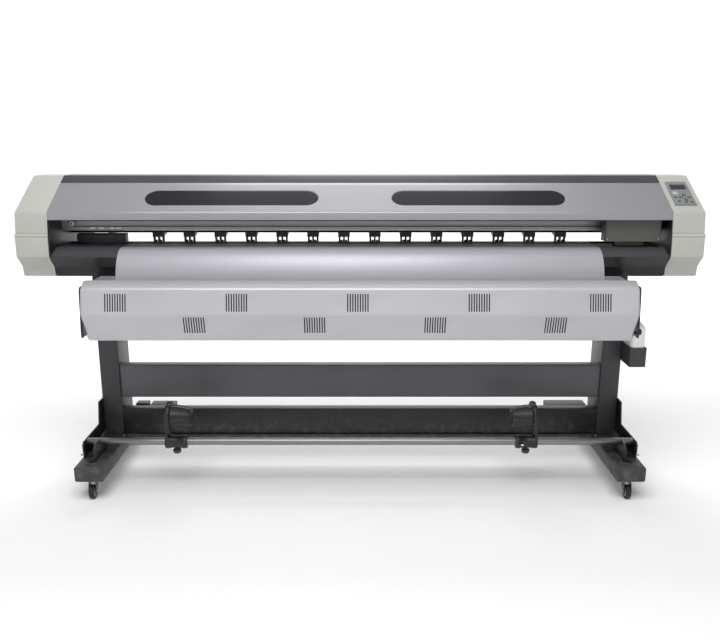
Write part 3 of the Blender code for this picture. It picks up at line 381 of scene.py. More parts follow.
def inward(outline):
    # unit normals that point into a closed outline, from the chord between a point's neighbours
    chord = np.roll(outline, -1, 0) - np.roll(outline, 1, 0)
    normal = np.stack([-chord[:, 1], chord[:, 0]], 1) / np.linalg.norm(chord, axis=1)[:, None]
    after = np.roll(outline, -1, 0)
    area = (outline[:, 0] * after[:, 1] - after[:, 0] * outline[:, 1]).sum()
    return normal if area > 0 else -normal


def placed(flat, depth, axis):
    # (u, v) outline points at a depth along the axis: X takes (y, z), Y takes (x, z), Z takes (x, y)
    columns = {"X": (2, 0, 1), "Y": (0, 2, 1), "Z": (0, 1, 2)}[axis]
    full = np.column_stack([flat, np.broadcast_to(depth, (len(flat),))])
    return full[:, columns]


def slab(name, outline, low, high, axis="X", edge=0.002, steps=3):
    # outline carried from low to high; near both ends it shrinks by edge * (1 - sin a) while it
    # moves by edge * (1 - cos a), so the rims are quarter rounds
    low, high = min(low, high), max(low, high)
    outline = np.array(outline, float)
    normal = inward(outline)
    a = np.linspace(0, math.pi / 2, steps + 1)
    shrink = np.concatenate([edge * (1 - np.sin(a)), edge * (1 - np.sin(a[::-1]))])
    depth = np.concatenate([low + edge * (1 - np.cos(a)), high - edge * (1 - np.cos(a[::-1]))])
    rings = [placed(outline + normal * s, d, axis) for s, d in zip(shrink, depth)]
    return meshObject(name, np.concatenate(rings), capped(len(rings), len(outline)))


def block(name, low, high, radius=0.003, axis="X", edge=0.002):
    # box with round edges, as a rounded rectangle carried along an axis
    index = "XYZ".index(axis)
    u, v = [i for i in range(3) if i != index]
    corners = rectangle((low[u], low[v]), (high[u], high[v]))
    return slab(name, rounded(corners, radius, 3), low[index], high[index], axis, edge)


def turnedPiece(name, profile, centre, axis="X", sides=48, lobes=0, depth=0.0, reach=(0, 0)):
    # (radius, along) profile turned about an axis; lobes wave the radius of the rows in reach
    profile = np.array(profile, float)
    turn = np.linspace(0, 2 * math.pi, sides, endpoint=False)
    radius = np.broadcast_to(profile[:, 0:1], (len(profile), sides)).copy()
    rows = slice(*reach)
    radius[rows] *= 1 + depth * (np.abs(np.cos(turn * lobes / 2)) - 0.5)[None]
    along = np.broadcast_to(profile[:, 1:2], radius.shape)
    ring = {"X": (along, radius * np.cos(turn), radius * np.sin(turn)),
            "Y": (radius * np.sin(turn), along, radius * np.cos(turn)),
            "Z": (radius * np.cos(turn), radius * np.sin(turn), along)}[axis]
    points = np.stack(ring, -1).reshape(-1, 3) + np.array(centre)
    return meshObject(name, points, gridFaces(len(profile), sides, wrapColumns=True))


def ribbon(name, profile, low, high, thickness, columns=2):
    # open (y, z) profile carried along X, then given its thickness by Solidify
    profile = np.array(profile, float)
    xs = np.linspace(low, high, columns)
    points = np.concatenate([placed(profile, x, "X") for x in xs])
    made = meshObject(name, points, gridFaces(columns, len(profile)), outward=False)
    return thicken(made, thickness)


def thicken(piece, thickness, offset=-1.0):
    wall = piece.modifiers.new("wall", "SOLIDIFY")
    wall.thickness = thickness
    wall.offset = offset
    wall.use_even_offset = True
    return piece


def tube(name, path, radius, sides=10, closed=False):
    # circle carried along a path: at each point it lies in the plane square to the path, spanned
    # by the normalised cross products of the path's direction with a fixed up vector
    path = np.array(path, float)
    if closed:
        ahead = np.roll(path, -1, 0) - np.roll(path, 1, 0)
    else:
        ahead = np.gradient(path, axis=0)
    ahead /= np.linalg.norm(ahead, axis=1)[:, None]
    up = np.array([0.0, 0.0, 1.0]) if np.abs(ahead[:, 2]).max() < 0.95 else np.array([0.0, 1.0, 0.0])
    across = np.cross(ahead, up)
    across /= np.linalg.norm(across, axis=1)[:, None]
    lift = np.cross(across, ahead)
    turn = np.linspace(0, 2 * math.pi, sides, endpoint=False)[None, :, None]
    points = path[:, None] + radius * (np.cos(turn) * across[:, None] + np.sin(turn) * lift[:, None])
    if closed:
        faces = gridFaces(len(path), sides, wrapRows=True, wrapColumns=True)
    else:
        faces = capped(len(path), sides)
    return meshObject(name, points.reshape(-1, 3), faces)


def rim(name, corners, radius, steps, height, wire, sides):
    # round wire laid along a level rounded outline
    outline = rounded(corners, radius, steps)
    path = np.column_stack([outline, np.full(len(outline), height)])
    return tube(name, path, wire, sides, closed=True)


def dress(piece, body, finish, replaces=(), angle=40):
    # finish, shading, and the body that the piece rides on
    piece.data.materials.clear()
    piece.data.materials.append(finishes[finish])
    piece.data.shade_smooth()
    piece.data.set_sharp_from_angle(angle=math.radians(angle))
    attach(piece, body)
    if replaces:
        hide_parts(*replaces)
    return piece


def merged(name, parts):
    # several finished meshes of one finish become one piece
    bpy.context.view_layer.update()
    graph = bpy.context.evaluated_depsgraph_get()
    shape = bmesh.new()
    for part in parts:
        mesh = bpy.data.meshes.new_from_object(part.evaluated_get(graph))
        shape.from_mesh(mesh)
        bpy.data.meshes.remove(mesh)
        bpy.data.objects.remove(part)
    mesh = bpy.data.meshes.new(name)
    shape.to_mesh(mesh)
    shape.free()
    return linked(name, mesh)


def spread(count, pitch):
    # places of a row centred on zero
    return (np.arange(count) - (count - 1) / 2) * pitch


def screws(name, places, axis, facing, radius, height):
    # round screw heads with a hexagon socket, one at each place
    made = []
    turn = np.linspace(0, 2 * math.pi, 12, endpoint=False)
    for i, place in enumerate(places):
        h = height * facing
        profile = [(0.0, 0.0), (radius, 0.0), (radius, h * 0.6), (radius * 0.86, h),
                   (radius * 0.5, h), (radius * 0.45, h * 0.35), (0.0, h * 0.35)]
        made.append(turnedPiece(f"{name}_{i}", profile, place, axis, len(turn)))
    return merged(name, made)


# head: shared profile
coverLow, coverHigh = edges("end_cover_right")
under = coverLow[2]
lidLow, lidHigh = edges("front_cover")
side = coverLow[0]
head = {
    "chamferY": -0.178, "chamferH": 0.038, "bottomY": -0.1736, "creaseH": 0.085,
    "seamH": 0.176, "seamY": -0.218, "lidCreaseY": -0.205, "lidCreaseH": 0.259,
    "topFrontY": 0.0075, "topRearY": 0.105, "shoulderH": 0.253, "rearFootH": 0.043,
    "rearBottomY": 0.262, "hingeY": -0.037,
}
head["slope"] = math.atan2(coverHigh[2] - under - head["lidCreaseH"],
                           head["topFrontY"] - head["lidCreaseY"])
slopeAlong = np.array([math.cos(head["slope"]), math.sin(head["slope"])])
slopeOut = np.array([-math.sin(head["slope"]), math.cos(head["slope"])])
creasePoint = np.array([head["lidCreaseY"], under + head["lidCreaseH"]])


def onSlope(distance, out=0.0):
    # (y, z) at a distance up the slope from the lid's crease
    return creasePoint + slopeAlong * distance + slopeOut * out


def mitred(corners, distances):
    # each side moves inward by its own distance, and a corner goes where its two moved lines meet
    corners = np.array(corners, float)
    along = np.roll(corners, -1, 0) - corners
    along /= np.linalg.norm(along, axis=1)[:, None]
    after = np.roll(corners, -1, 0)
    turn = np.sign((corners[:, 0] * after[:, 1] - after[:, 0] * corners[:, 1]).sum())
    normal = np.stack([-along[:, 1], along[:, 0]], 1) * turn
    sides = np.stack([np.roll(normal, 1, 0), normal], 1)
    moves = np.stack([np.roll(distances, 1), distances], 1)
    return corners + np.linalg.solve(sides, moves[:, :, None])[:, :, 0]


def moulding(name, corners, radii, crisp, near, far, edge, steps=5):
    # like slab with a round rim at the far end only; the sides listed as crisp keep their place
    share = np.ones(len(corners))
    share[crisp] = 0.06
    a = np.linspace(math.pi / 2, 0, steps + 1)
    way = math.copysign(1, far - near)
    rings = [placed(rounded(corners, radii), near, "X")]
    for angle in a:
        shrink = edge * (1 - math.sin(angle))
        flat = rounded(mitred(corners, share * shrink), np.maximum(np.array(radii) - shrink / 2, 0.0005))
        rings.append(placed(flat, far - way * edge * (1 - math.cos(angle)), "X"))
    return meshObject(name, np.concatenate(rings), capped(len(rings), len(rings[0])))


def makeEndCovers():
    # two mouldings on each side; the lower one stands a little proud, with a lit ledge at the seam
    # and a shadow groove under the ledge
    parts = {"edge": 0.008, "proud": 0.0035, "ledge": 0.010, "groove": 0.0035, "gap": 0.0006,
             "screwR": 0.0035}
    z = under
    rear = coverHigh[1]
    seam = z + head["seamH"]
    foot = seam - parts["ledge"]
    upper = [(head["seamY"] + parts["proud"], seam + parts["gap"]), creasePoint + (0.0005, 0),
             (head["topFrontY"], coverHigh[2]), (head["topRearY"], coverHigh[2]),
             (rear, z + head["shoulderH"]), (rear, seam + parts["gap"])]
    lower = [(rear, seam), (rear, z + head["rearFootH"]), (head["rearBottomY"], z),
             (head["bottomY"], z), (head["chamferY"], z + head["chamferH"]),
             (coverLow[1], z + head["creaseH"]), (head["seamY"] - 0.001, foot - 2 * parts["groove"]),
             (head["seamY"] + parts["groove"], foot - parts["groove"]), (head["seamY"], foot),
             (head["seamY"] + parts["proud"], seam)]
    upperRounds = [0.001, 0.012, 0.012, 0.012, 0.02, 0.001]
    lowerRounds = [0.001, 0.012, 0.012, 0.004, 0.010, 0.008, 0.001, 0.001, 0.001, 0.001]
    for way, word in ((-1, "left"), (1, "right")):
        near, far = way * side, way * coverHigh[0]
        top = moulding(f"endCoverTop_{word}", upper, upperRounds, [5], near, far - way * 0.002, parts["edge"])
        low = moulding(f"endCoverBase_{word}", lower, lowerRounds, [6, 7, 8, 9], near, far, parts["edge"])
        dress(top, "machine", "ivory", [f"end_cover_{word}"])
        dress(low, "machine", "ivory")
        spots = [(way * x, head["bottomY"] - 0.001, z + 0.012) for x in (side + 0.02, coverHigh[0] - 0.02)]
        dress(screws(f"coverScrews_{word}", spots, "Y", -1, parts["screwR"], 0.0015), "machine", "steel")


def pillFrame(length, height, margin, steps=24, columns=20):
    # a pill's edge, and the rectangle around it met by rays from the pill's two end centres
    radius = height / 2
    straight = length / 2 - radius
    turn = np.linspace(-math.pi / 2, math.pi / 2, steps + 1)
    end = np.column_stack([np.cos(turn), np.sin(turn)])
    ray = end * (radius + margin) / np.abs(end).max(1)[:, None]
    middle = np.linspace(straight, -straight, columns)[1:-1]
    side = np.column_stack([middle, np.ones_like(middle)])
    rims = []
    for arc, rise in ((end * radius, radius), (ray, radius + margin)):
        half = np.concatenate([arc + (straight, 0), side * (1, rise)])
        rims.append(np.concatenate([half, -half]))
    return rims


def makeLid():
    # sheet with a round crease; each window hole is a grid of rings between a pill and a rectangle
    lid = {"length": 0.69, "height": 0.10, "pitch": 0.98, "shift": -0.02, "thickness": 0.003,
           "margin": 0.018, "start": 0.012, "crease": 0.010, "drop": 0.0045, "play": 0.0012}
    half = lidHigh[0]
    rearDistance = (lidHigh[1] - head["lidCreaseY"]) / slopeAlong[0]
    middle = ((head["hingeY"] - head["lidCreaseY"]) / 2 - lid["drop"]) / slopeAlong[0]
    hole, outer = pillFrame(lid["length"], lid["height"], lid["margin"])
    reach, rise = outer.max(0)
    vs = np.unique(np.round(outer[np.abs(outer[:, 0]) > reach - 1e-6][:, 1], 7)) + middle
    across = np.unique(np.round(outer[np.abs(outer[:, 1]) > rise - 1e-6][:, 0], 7))
    centres = [lid["shift"] + way * lid["pitch"] / 2 for way in (-1, 1)]
    points, faces = [], []

    def patch(grid):
        # a grid of (x, distance) pairs laid on the slope
        flat = grid.reshape(-1, 2)
        yz = np.array([onSlope(0)]) + flat[:, 1:2] * slopeAlong[None]
        start = sum(len(p) for p in points)
        points.append(np.column_stack([flat[:, 0], yz]))
        faces.extend(gridFaces(grid.shape[0], grid.shape[1], start=start))

    stops = [-half, centres[0] - reach, centres[0] + reach, centres[1] - reach, centres[1] + reach, half]
    for left, right in zip(stops[0::2], stops[1::2]):
        patch(np.stack(np.meshgrid([left, right], vs, indexing="ij"), -1))
    for centre in centres:
        t = np.array([0, 0.3, 0.7, 0.93, 1.0])[:, None, None]
        rings = outer[None] * (1 - t) + hole[None] * t + (centre, middle)
        patch(np.concatenate([rings, rings[:, :1]], 1))
    # strips above and below the windows share the windows' own columns
    xs = np.concatenate([[-half], *[across + centre for centre in centres], [half]])
    for rows in (np.linspace(lid["start"], vs[0], 3), np.linspace(vs[-1], rearDistance, 3)):
        patch(np.stack(np.meshgrid(xs, rows, indexing="ij"), -1))
    # crease and lip: a profile carried across the same columns
    lip = (lidLow[1] + 0.0004, lidLow[2])
    bend = rounded([onSlope(lid["start"]), creasePoint, lip], [0, lid["crease"], 0], 6)
    start = sum(len(p) for p in points)
    points.append(np.concatenate([placed(bend, x, "X") for x in xs]))
    faces.extend(gridFaces(len(xs), len(bend), start=start))
    sheet = meshObject("lidSheet", np.concatenate(points), faces)
    if sheet.data.polygons[0].normal.z < 0:
        sheet.data.flip_normals()
    bevel = thicken(sheet, lid["thickness"]).modifiers.new("rim", "BEVEL")
    bevel.width = 0.0006
    bevel.segments = 2
    bevel.limit_method = "ANGLE"
    dress(sheet, "front_cover", "silver", ["front_cover"])
    pane = pillFrame(lid["length"] - lid["play"], lid["height"] - lid["play"], 0.0)[0]
    for centre, word in zip(centres, ("left", "right")):
        rows = []
        for shrink, out in ((0.0, -0.0028), (0.0, -0.0014), (0.0012, -0.0006), (0.0030, -0.0006)):
            flat = pane * (1 - shrink / np.array([lid["length"], lid["height"]]) * 2)
            yz = creasePoint + (flat[:, 1:2] + middle) * slopeAlong + slopeOut * out
            rows.append(np.column_stack([flat[:, 0] + centre, yz]))
        made = meshObject(f"windowPane_{word}", np.concatenate(rows), capped(len(rows), len(pane)))
        dress(made, "front_cover", "smoke", [f"window_{word}"])
    dress(ribbonGrip(lip, half), "front_cover", "silver")


def ribbonGrip(lip, half):
    # folded hem behind the lid's lower edge
    hem = np.array([(lip[0] + 0.0005, lip[1] + 0.0005), (lip[0] + 0.012, lip[1] + 0.0005),
                    (lip[0] + 0.012, lip[1] + 0.003), (lip[0] + 0.0030, lip[1] + 0.003)])
    return slab("lidHem", hem, -half + 0.002, half - 0.002, "X", 0.0003, 1)


def softened(piece, width, segments=2, angle=30):
    bevel = piece.modifiers.new("edge", "BEVEL")
    bevel.width = width
    bevel.segments = segments
    bevel.limit_method = "ANGLE"
    bevel.angle_limit = math.radians(angle)
    return piece


def softNode(name, node, body, finish, width=0.0012):
    # welded copy of a frame node whose edges are rounded by a bevel
    shape = bmesh.new()
    shape.from_mesh(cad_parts[node].data)
    bmesh.ops.remove_doubles(shape, verts=shape.verts, dist=0.00002)
    bmesh.ops.dissolve_limit(shape, angle_limit=math.radians(1), verts=shape.verts, edges=shape.edges)
    mesh = bpy.data.meshes.new(name)
    shape.to_mesh(mesh)
    shape.free()
    return dress(softened(linked(name, mesh), width), body, finish, [node])


def makeRearCover():
    # folded sheet behind the lid, with a row of screws
    cover = {"thickness": 0.003, "folds": [0, 0.010, 0.014, 0.022, 0], "screwPitch": 0.198,
             "screwHeights": (0.012, 0.082)}
    low, high = edges("rear_cover")
    start = onSlope((low[1] - head["lidCreaseY"]) / slopeAlong[0])
    profile = rounded([start, (head["topFrontY"], high[2]), (head["topRearY"], high[2]),
                       (high[1], under + head["shoulderH"]), (high[1], low[2])], cover["folds"], 6)
    sheet = ribbon("rearCoverSheet", profile[::-1], low[0], high[0], cover["thickness"])
    dress(softened(sheet, 0.0006), "machine", "darkTop", ["rear_cover"])
    xs = spread(int((high[0] - low[0] - 0.1) / cover["screwPitch"]) + 1, cover["screwPitch"])
    spots = [(x, high[1], low[2] + cover["screwHeights"][0]) for x in xs]
    spots += [(x, high[1], low[2] + cover["screwHeights"][1]) for x in xs[::2]]
    dress(screws("rearCoverScrews", spots, "Y", 1, 0.004, 0.0018), "machine", "steel")


def makeHinge():
    softNode("hingeRod", "hinge_rod", "machine", "darkTop", 0.0004)


def makeChassis():
    for word in ("left", "right"):
        softNode(f"sidePlate_{word}", f"side_plate_{word}", "machine", "black", 0.0008)
    softNode("baseBeam", "base_beam", "machine", "charcoal", 0.002)
    softNode("mainBeam", "beam", "machine", "beam", 0.002)
    trim = {"edge": 0.005, "proud": 0.0016, "scaleZ": 1.137, "scaleHeight": 0.008, "clip": 0.24,
            "clipWidth": 0.006, "stops": (0.115, 0.150, 0.195, 0.222), "stopSize": (0.020, 0.010)}
    low, high = edges("beam")
    face = low[1] - 0.0002
    front = low[1] - trim["proud"]
    # pale strip under the beam: painted highlight on its bottom flange
    strip = block("beamLowerEdge", (low[0] + 0.25, front, low[2] + 0.0005),
                  (high[0] - 0.02, face, low[2] + trim["edge"]), 0.0004, "X", 0.0004)
    dress(strip, "machine", "highlightStrip")
    # position scale that the carriage reads, on small clips
    z0, z1 = trim["scaleZ"], trim["scaleZ"] + trim["scaleHeight"]
    scale = block("positionScale", (low[0] + 0.03, low[1] - 0.0014, z0),
                  (high[0] - 0.03, low[1] - 0.0008, z1), 0.0002, "X", 0.0002)
    dress(scale, "machine", "scale")
    xs = np.arange(low[0] + 0.04, high[0] - 0.03, trim["clip"])
    clips = [block(f"clip_{i}", (x, front, z0 - 0.001), (x + trim["clipWidth"], face, z1 + 0.001),
                   0.0005, "X", 0.0003) for i, x in enumerate(xs)]
    dress(merged("scaleClips", clips), "machine", "black")
    # tensioner and end-stop blocks at the left end, under the belt
    width, height = trim["stopSize"]
    foot = low[2] + 0.006
    blocks = [block(f"stop_{i}", (low[0] + x, low[1] - 0.004, foot),
                    (low[0] + x + width, face, foot + height), 0.001, "X", 0.0006)
              for i, x in enumerate(trim["stops"])]
    dress(merged("beltStops", blocks), "machine", "steel")


def makeRail():
    # ground guide rail with its row of countersunk bolts
    rail = {"pitch": 0.08, "radius": 0.0034}
    low, high = edges("guide_rail")
    softNode("guideRail", "guide_rail", "machine", "steel", 0.0012)
    xs = np.arange(low[0] + 0.04, high[0] - 0.02, rail["pitch"])
    spots = [(x, low[1], (low[2] + high[2]) / 2) for x in xs]
    dress(screws("railBolts", spots, "Y", -1, rail["radius"], 0.0004), "machine", "black")


def makeLowerCovers():
    for word in ("left", "right"):
        softNode(f"lowerCover_{word}", f"lower_cover_{word}", "machine", "lowerCover", 0.0013)
    # capping station: a black frame with a felt pad, a rubber lip and a wiper
    cap = {"lip": (0.012, 0.008), "pad": (0.014, 0.010), "lipR": 0.0014, "wiper": 0.04, "blade": 0.0015}
    low, high = edges("capping_station")
    softNode("cappingBody", "capping_station", "machine", "black", 0.0015)
    corners = rectangle(low[:2] + cap["lip"], high[:2] - cap["lip"])
    dress(rim("capLip", corners, 0.006, 4, high[2] + 0.0005, cap["lipR"], 8), "machine", "rubber")
    x, y = cap["pad"]
    pad = block("capPad", (low[0] + x, low[1] + y, high[2] - 0.001),
                (high[0] - x, high[1] - y, high[2] + 0.0004), 0.004, "Z", 0.0003)
    dress(pad, "machine", "felt")
    middle = (low[1] + high[1]) / 2
    wiper = block("wiper", (low[0] + 0.003, middle - cap["wiper"] / 2, high[2] - 0.001),
                  (low[0] + 0.003 + cap["blade"], middle + cap["wiper"] / 2, high[2] + 0.0022),
                  0.0006, "X", 0.0003)
    dress(wiper, "machine", "rubber")
    # drip box beside the print width on the left
    low, high = edges("lower_cover_left")
    base = edges("base_beam")[1][2]
    box = block("dripBox", (low[0] + 0.05, high[1] + 0.003, base + 0.0005),
                (high[0] - 0.012, high[1] + 0.046, high[2] + 0.038), 0.003, "X", 0.002)
    dress(box, "machine", "black")


def makeApron():
    # cubic curve from the platen's front edge down behind the dryer, carried along X
    apron = {"thickness": 0.002, "bulgeY": -0.285, "bulgeRise": 0.0012, "fallY": -0.290, "fallZ": 0.080,
             "points": 48, "endY": -0.225, "inset": 0.0008}
    low, high = edges("apron")
    start = np.array([high[1], high[2] - apron["inset"]])
    end = np.array([apron["endY"], low[2] + apron["inset"]])
    bulge = np.array([apron["bulgeY"], high[2] + apron["bulgeRise"]])
    fall = np.array([apron["fallY"], end[1] + apron["fallZ"]])
    t = np.linspace(0, 1, apron["points"])[:, None]
    curve = ((1 - t) ** 3 * start + 3 * t * (1 - t) ** 2 * bulge
             + 3 * t ** 2 * (1 - t) * fall + t ** 3 * end)
    sheet = ribbon("apronSheet", curve, low[0], high[0], apron["thickness"], 3)
    dress(softened(sheet, 0.0007), "machine", "apron", ["apron"])


def makePlaten():
    low, high = edges("platen")
    softNode("platenPlate", "platen", "machine", "platen", 0.0008)
    strip = block("cuttingStrip", (low[0] + 0.004, low[1] + 0.058, high[2] - 0.0008),
                  (high[0] - 0.004, low[1] + 0.066, high[2] + 0.0003), 0.0003, "X", 0.0003)
    dress(strip, "machine", "strip")
    softNode("rearGuide", "rear_guide", "machine", "charcoal", 0.0008)
    # grit roller: plain journals, and collars of bonded grit under the pinch rollers
    softNode("feedRoller", "feed_roller", "feed_roller", "grit", 0.0006)


def makePinchBank():
    # each arm carries a pair of rollers, a pale cap and a coil spring
    bank = {"count": 14, "pitch": 0.129, "shift": -0.0026, "rollerR": 0.0045, "rollerY": -0.0145,
            "rollerLength": 0.009, "rollerOut": 0.0092, "barHeight": 0.1547, "capWidth": 0.034,
            "springR": 0.0035, "springY": 0.028, "springTurns": 6, "springWire": 0.0005}
    low = edges("pinch_bank")[0]
    softNode("pinchFrame", "pinch_bank", "pinch_bank", "black", 0.0009)
    r, half = bank["rollerR"], bank["rollerLength"] / 2
    barZ = edges("side_plate_left")[0][2] + bank["barHeight"]
    profile = [(0.0, -half), (r * 0.9, -half), (r, 0.0008 - half), (r, half - 0.0008), (r * 0.9, half),
               (0.0, half)]
    t = np.linspace(0, 1, bank["springTurns"] * 10)
    angle = t * bank["springTurns"] * 2 * math.pi
    rollers, caps, springs = [], [], []
    for i, x in enumerate(spread(bank["count"], bank["pitch"]) + bank["shift"]):
        for k in (-1, 1):
            centre = (x + k * bank["rollerOut"], bank["rollerY"], low[2] + r - 0.0001)
            rollers.append(turnedPiece(f"roller_{i}_{k}", profile, centre, "X", 16))
        reach = bank["capWidth"] / 2
        caps.append(block(f"cap_{i}", (x - reach, -0.009, barZ + 0.0055), (x + reach, -0.005, barZ + 0.0085),
                          0.0008, "X", 0.0005))
        path = np.column_stack([x + bank["springR"] * np.cos(angle),
                                bank["springY"] + bank["springR"] * np.sin(angle), barZ + 0.012 + t * 0.004])
        springs.append(tube(f"spring_{i}", path, bank["springWire"], 5))
    dress(merged("pinchRollers", rollers), "pinch_bank", "rubber")
    dress(merged("pinchCaps", caps), "pinch_bank", "notch")
    dress(merged("pinchSprings", springs), "pinch_bank", "steel")


def makeCarriage():
    # moulded cover over the carriage: a closed profile with rounded corners
    cover = {"corner": 0.010, "edge": 0.007, "inset": 0.016, "proud": 0.0002, "plates": 4, "margin": 0.004}
    low, high = edges("carriage_cover")
    outline = rounded(rectangle(low[1:], high[1:]), [cover["corner"] * 0.5, 0.001, 0.001, cover["corner"]], 6)
    shell = slab("carriageShell", outline, low[0], high[0], "X", cover["edge"], 5)
    dress(shell, "carriage", "carriage", ["carriage_cover"])
    inset = cover["inset"]
    panel = block("carriagePanel", (low[0] + inset, low[1] + cover["proud"], low[2] + inset),
                  (high[0] - inset, low[1] + 0.004, high[2] - inset * 1.2), 0.004, "Y", 0.0010)
    dress(panel, "carriage", "carriage")
    spots = [(x, low[1], z) for x in (low[0] + 0.009, high[0] - 0.009)
             for z in (low[2] + 0.012, high[2] - 0.014)]
    dress(screws("carriageScrews", spots, "Y", -1, 0.0028, 0.0008), "carriage", "steel")
    softNode("carriageBlock", "carriage_block", "carriage", "black", 0.0008)
    softNode("printHead", "print_head", "carriage", "black", 0.0012)
    low, high = edges("print_head")
    margin = cover["margin"]
    step = (high[0] - low[0] - 2 * margin) / cover["plates"]
    plates = []
    for i in range(cover["plates"]):
        x = low[0] + margin + i * step
        plates.append(block(f"plate_{i}", (x + 0.001, low[1] + 0.003, low[2] - 0.0006),
                            (x + step - 0.001, high[1] - 0.003, low[2] + 0.001), 0.001, "Z", 0.0004))
    dress(merged("nozzlePlates", plates), "carriage", "hub")


def makeDrive():
    softNode("carriageMotor", "carriage_motor", "machine", "black", 0.002)
    # belt: a stadium outline and the same one inset by the thickness, joined front and back
    belt = {"thickness": 0.0013, "play": 0.0002, "arc": 13}
    low, high = edges("drive_belt")
    radius = (high[2] - low[2]) / 2 - belt["play"]
    reach = high[0] - radius - belt["play"]
    arc = np.linspace(-math.pi / 2, math.pi / 2, belt["arc"])
    end = np.column_stack([reach + radius * np.cos(arc), radius * np.sin(arc)])
    outer = np.concatenate([end, -end]) + (0, (low[2] + high[2]) / 2)
    inner = outer + inward(outer) * belt["thickness"]
    rings = [(outer, high[1]), (outer, low[1]), (inner, low[1]), (inner, high[1])]
    points = np.concatenate([placed(ring, depth, "Y") for ring, depth in rings])
    loop = meshObject("driveBelt", points, gridFaces(4, len(outer), wrapRows=True, wrapColumns=True))
    dress(loop, "machine", "belt", ["drive_belt"])
    for word in ("drive", "idler"):
        node = f"{word}_pulley"
        softNode(f"{word}Pulley", node, node, "hub", 0.0005)
        low, high = edges(node)
        centre = ((low[0] + high[0]) / 2, low[1], (low[2] + high[2]) / 2)
        r = (high[2] - low[2]) / 2
        profile = [(0.0, -0.0003), (r * 0.3, -0.0003), (r * 0.34, 0.0002), (r * 0.7, 0.0002)]
        dress(turnedPiece(f"{word}PulleyFace", profile, centre, "Y", 32), node, "black")


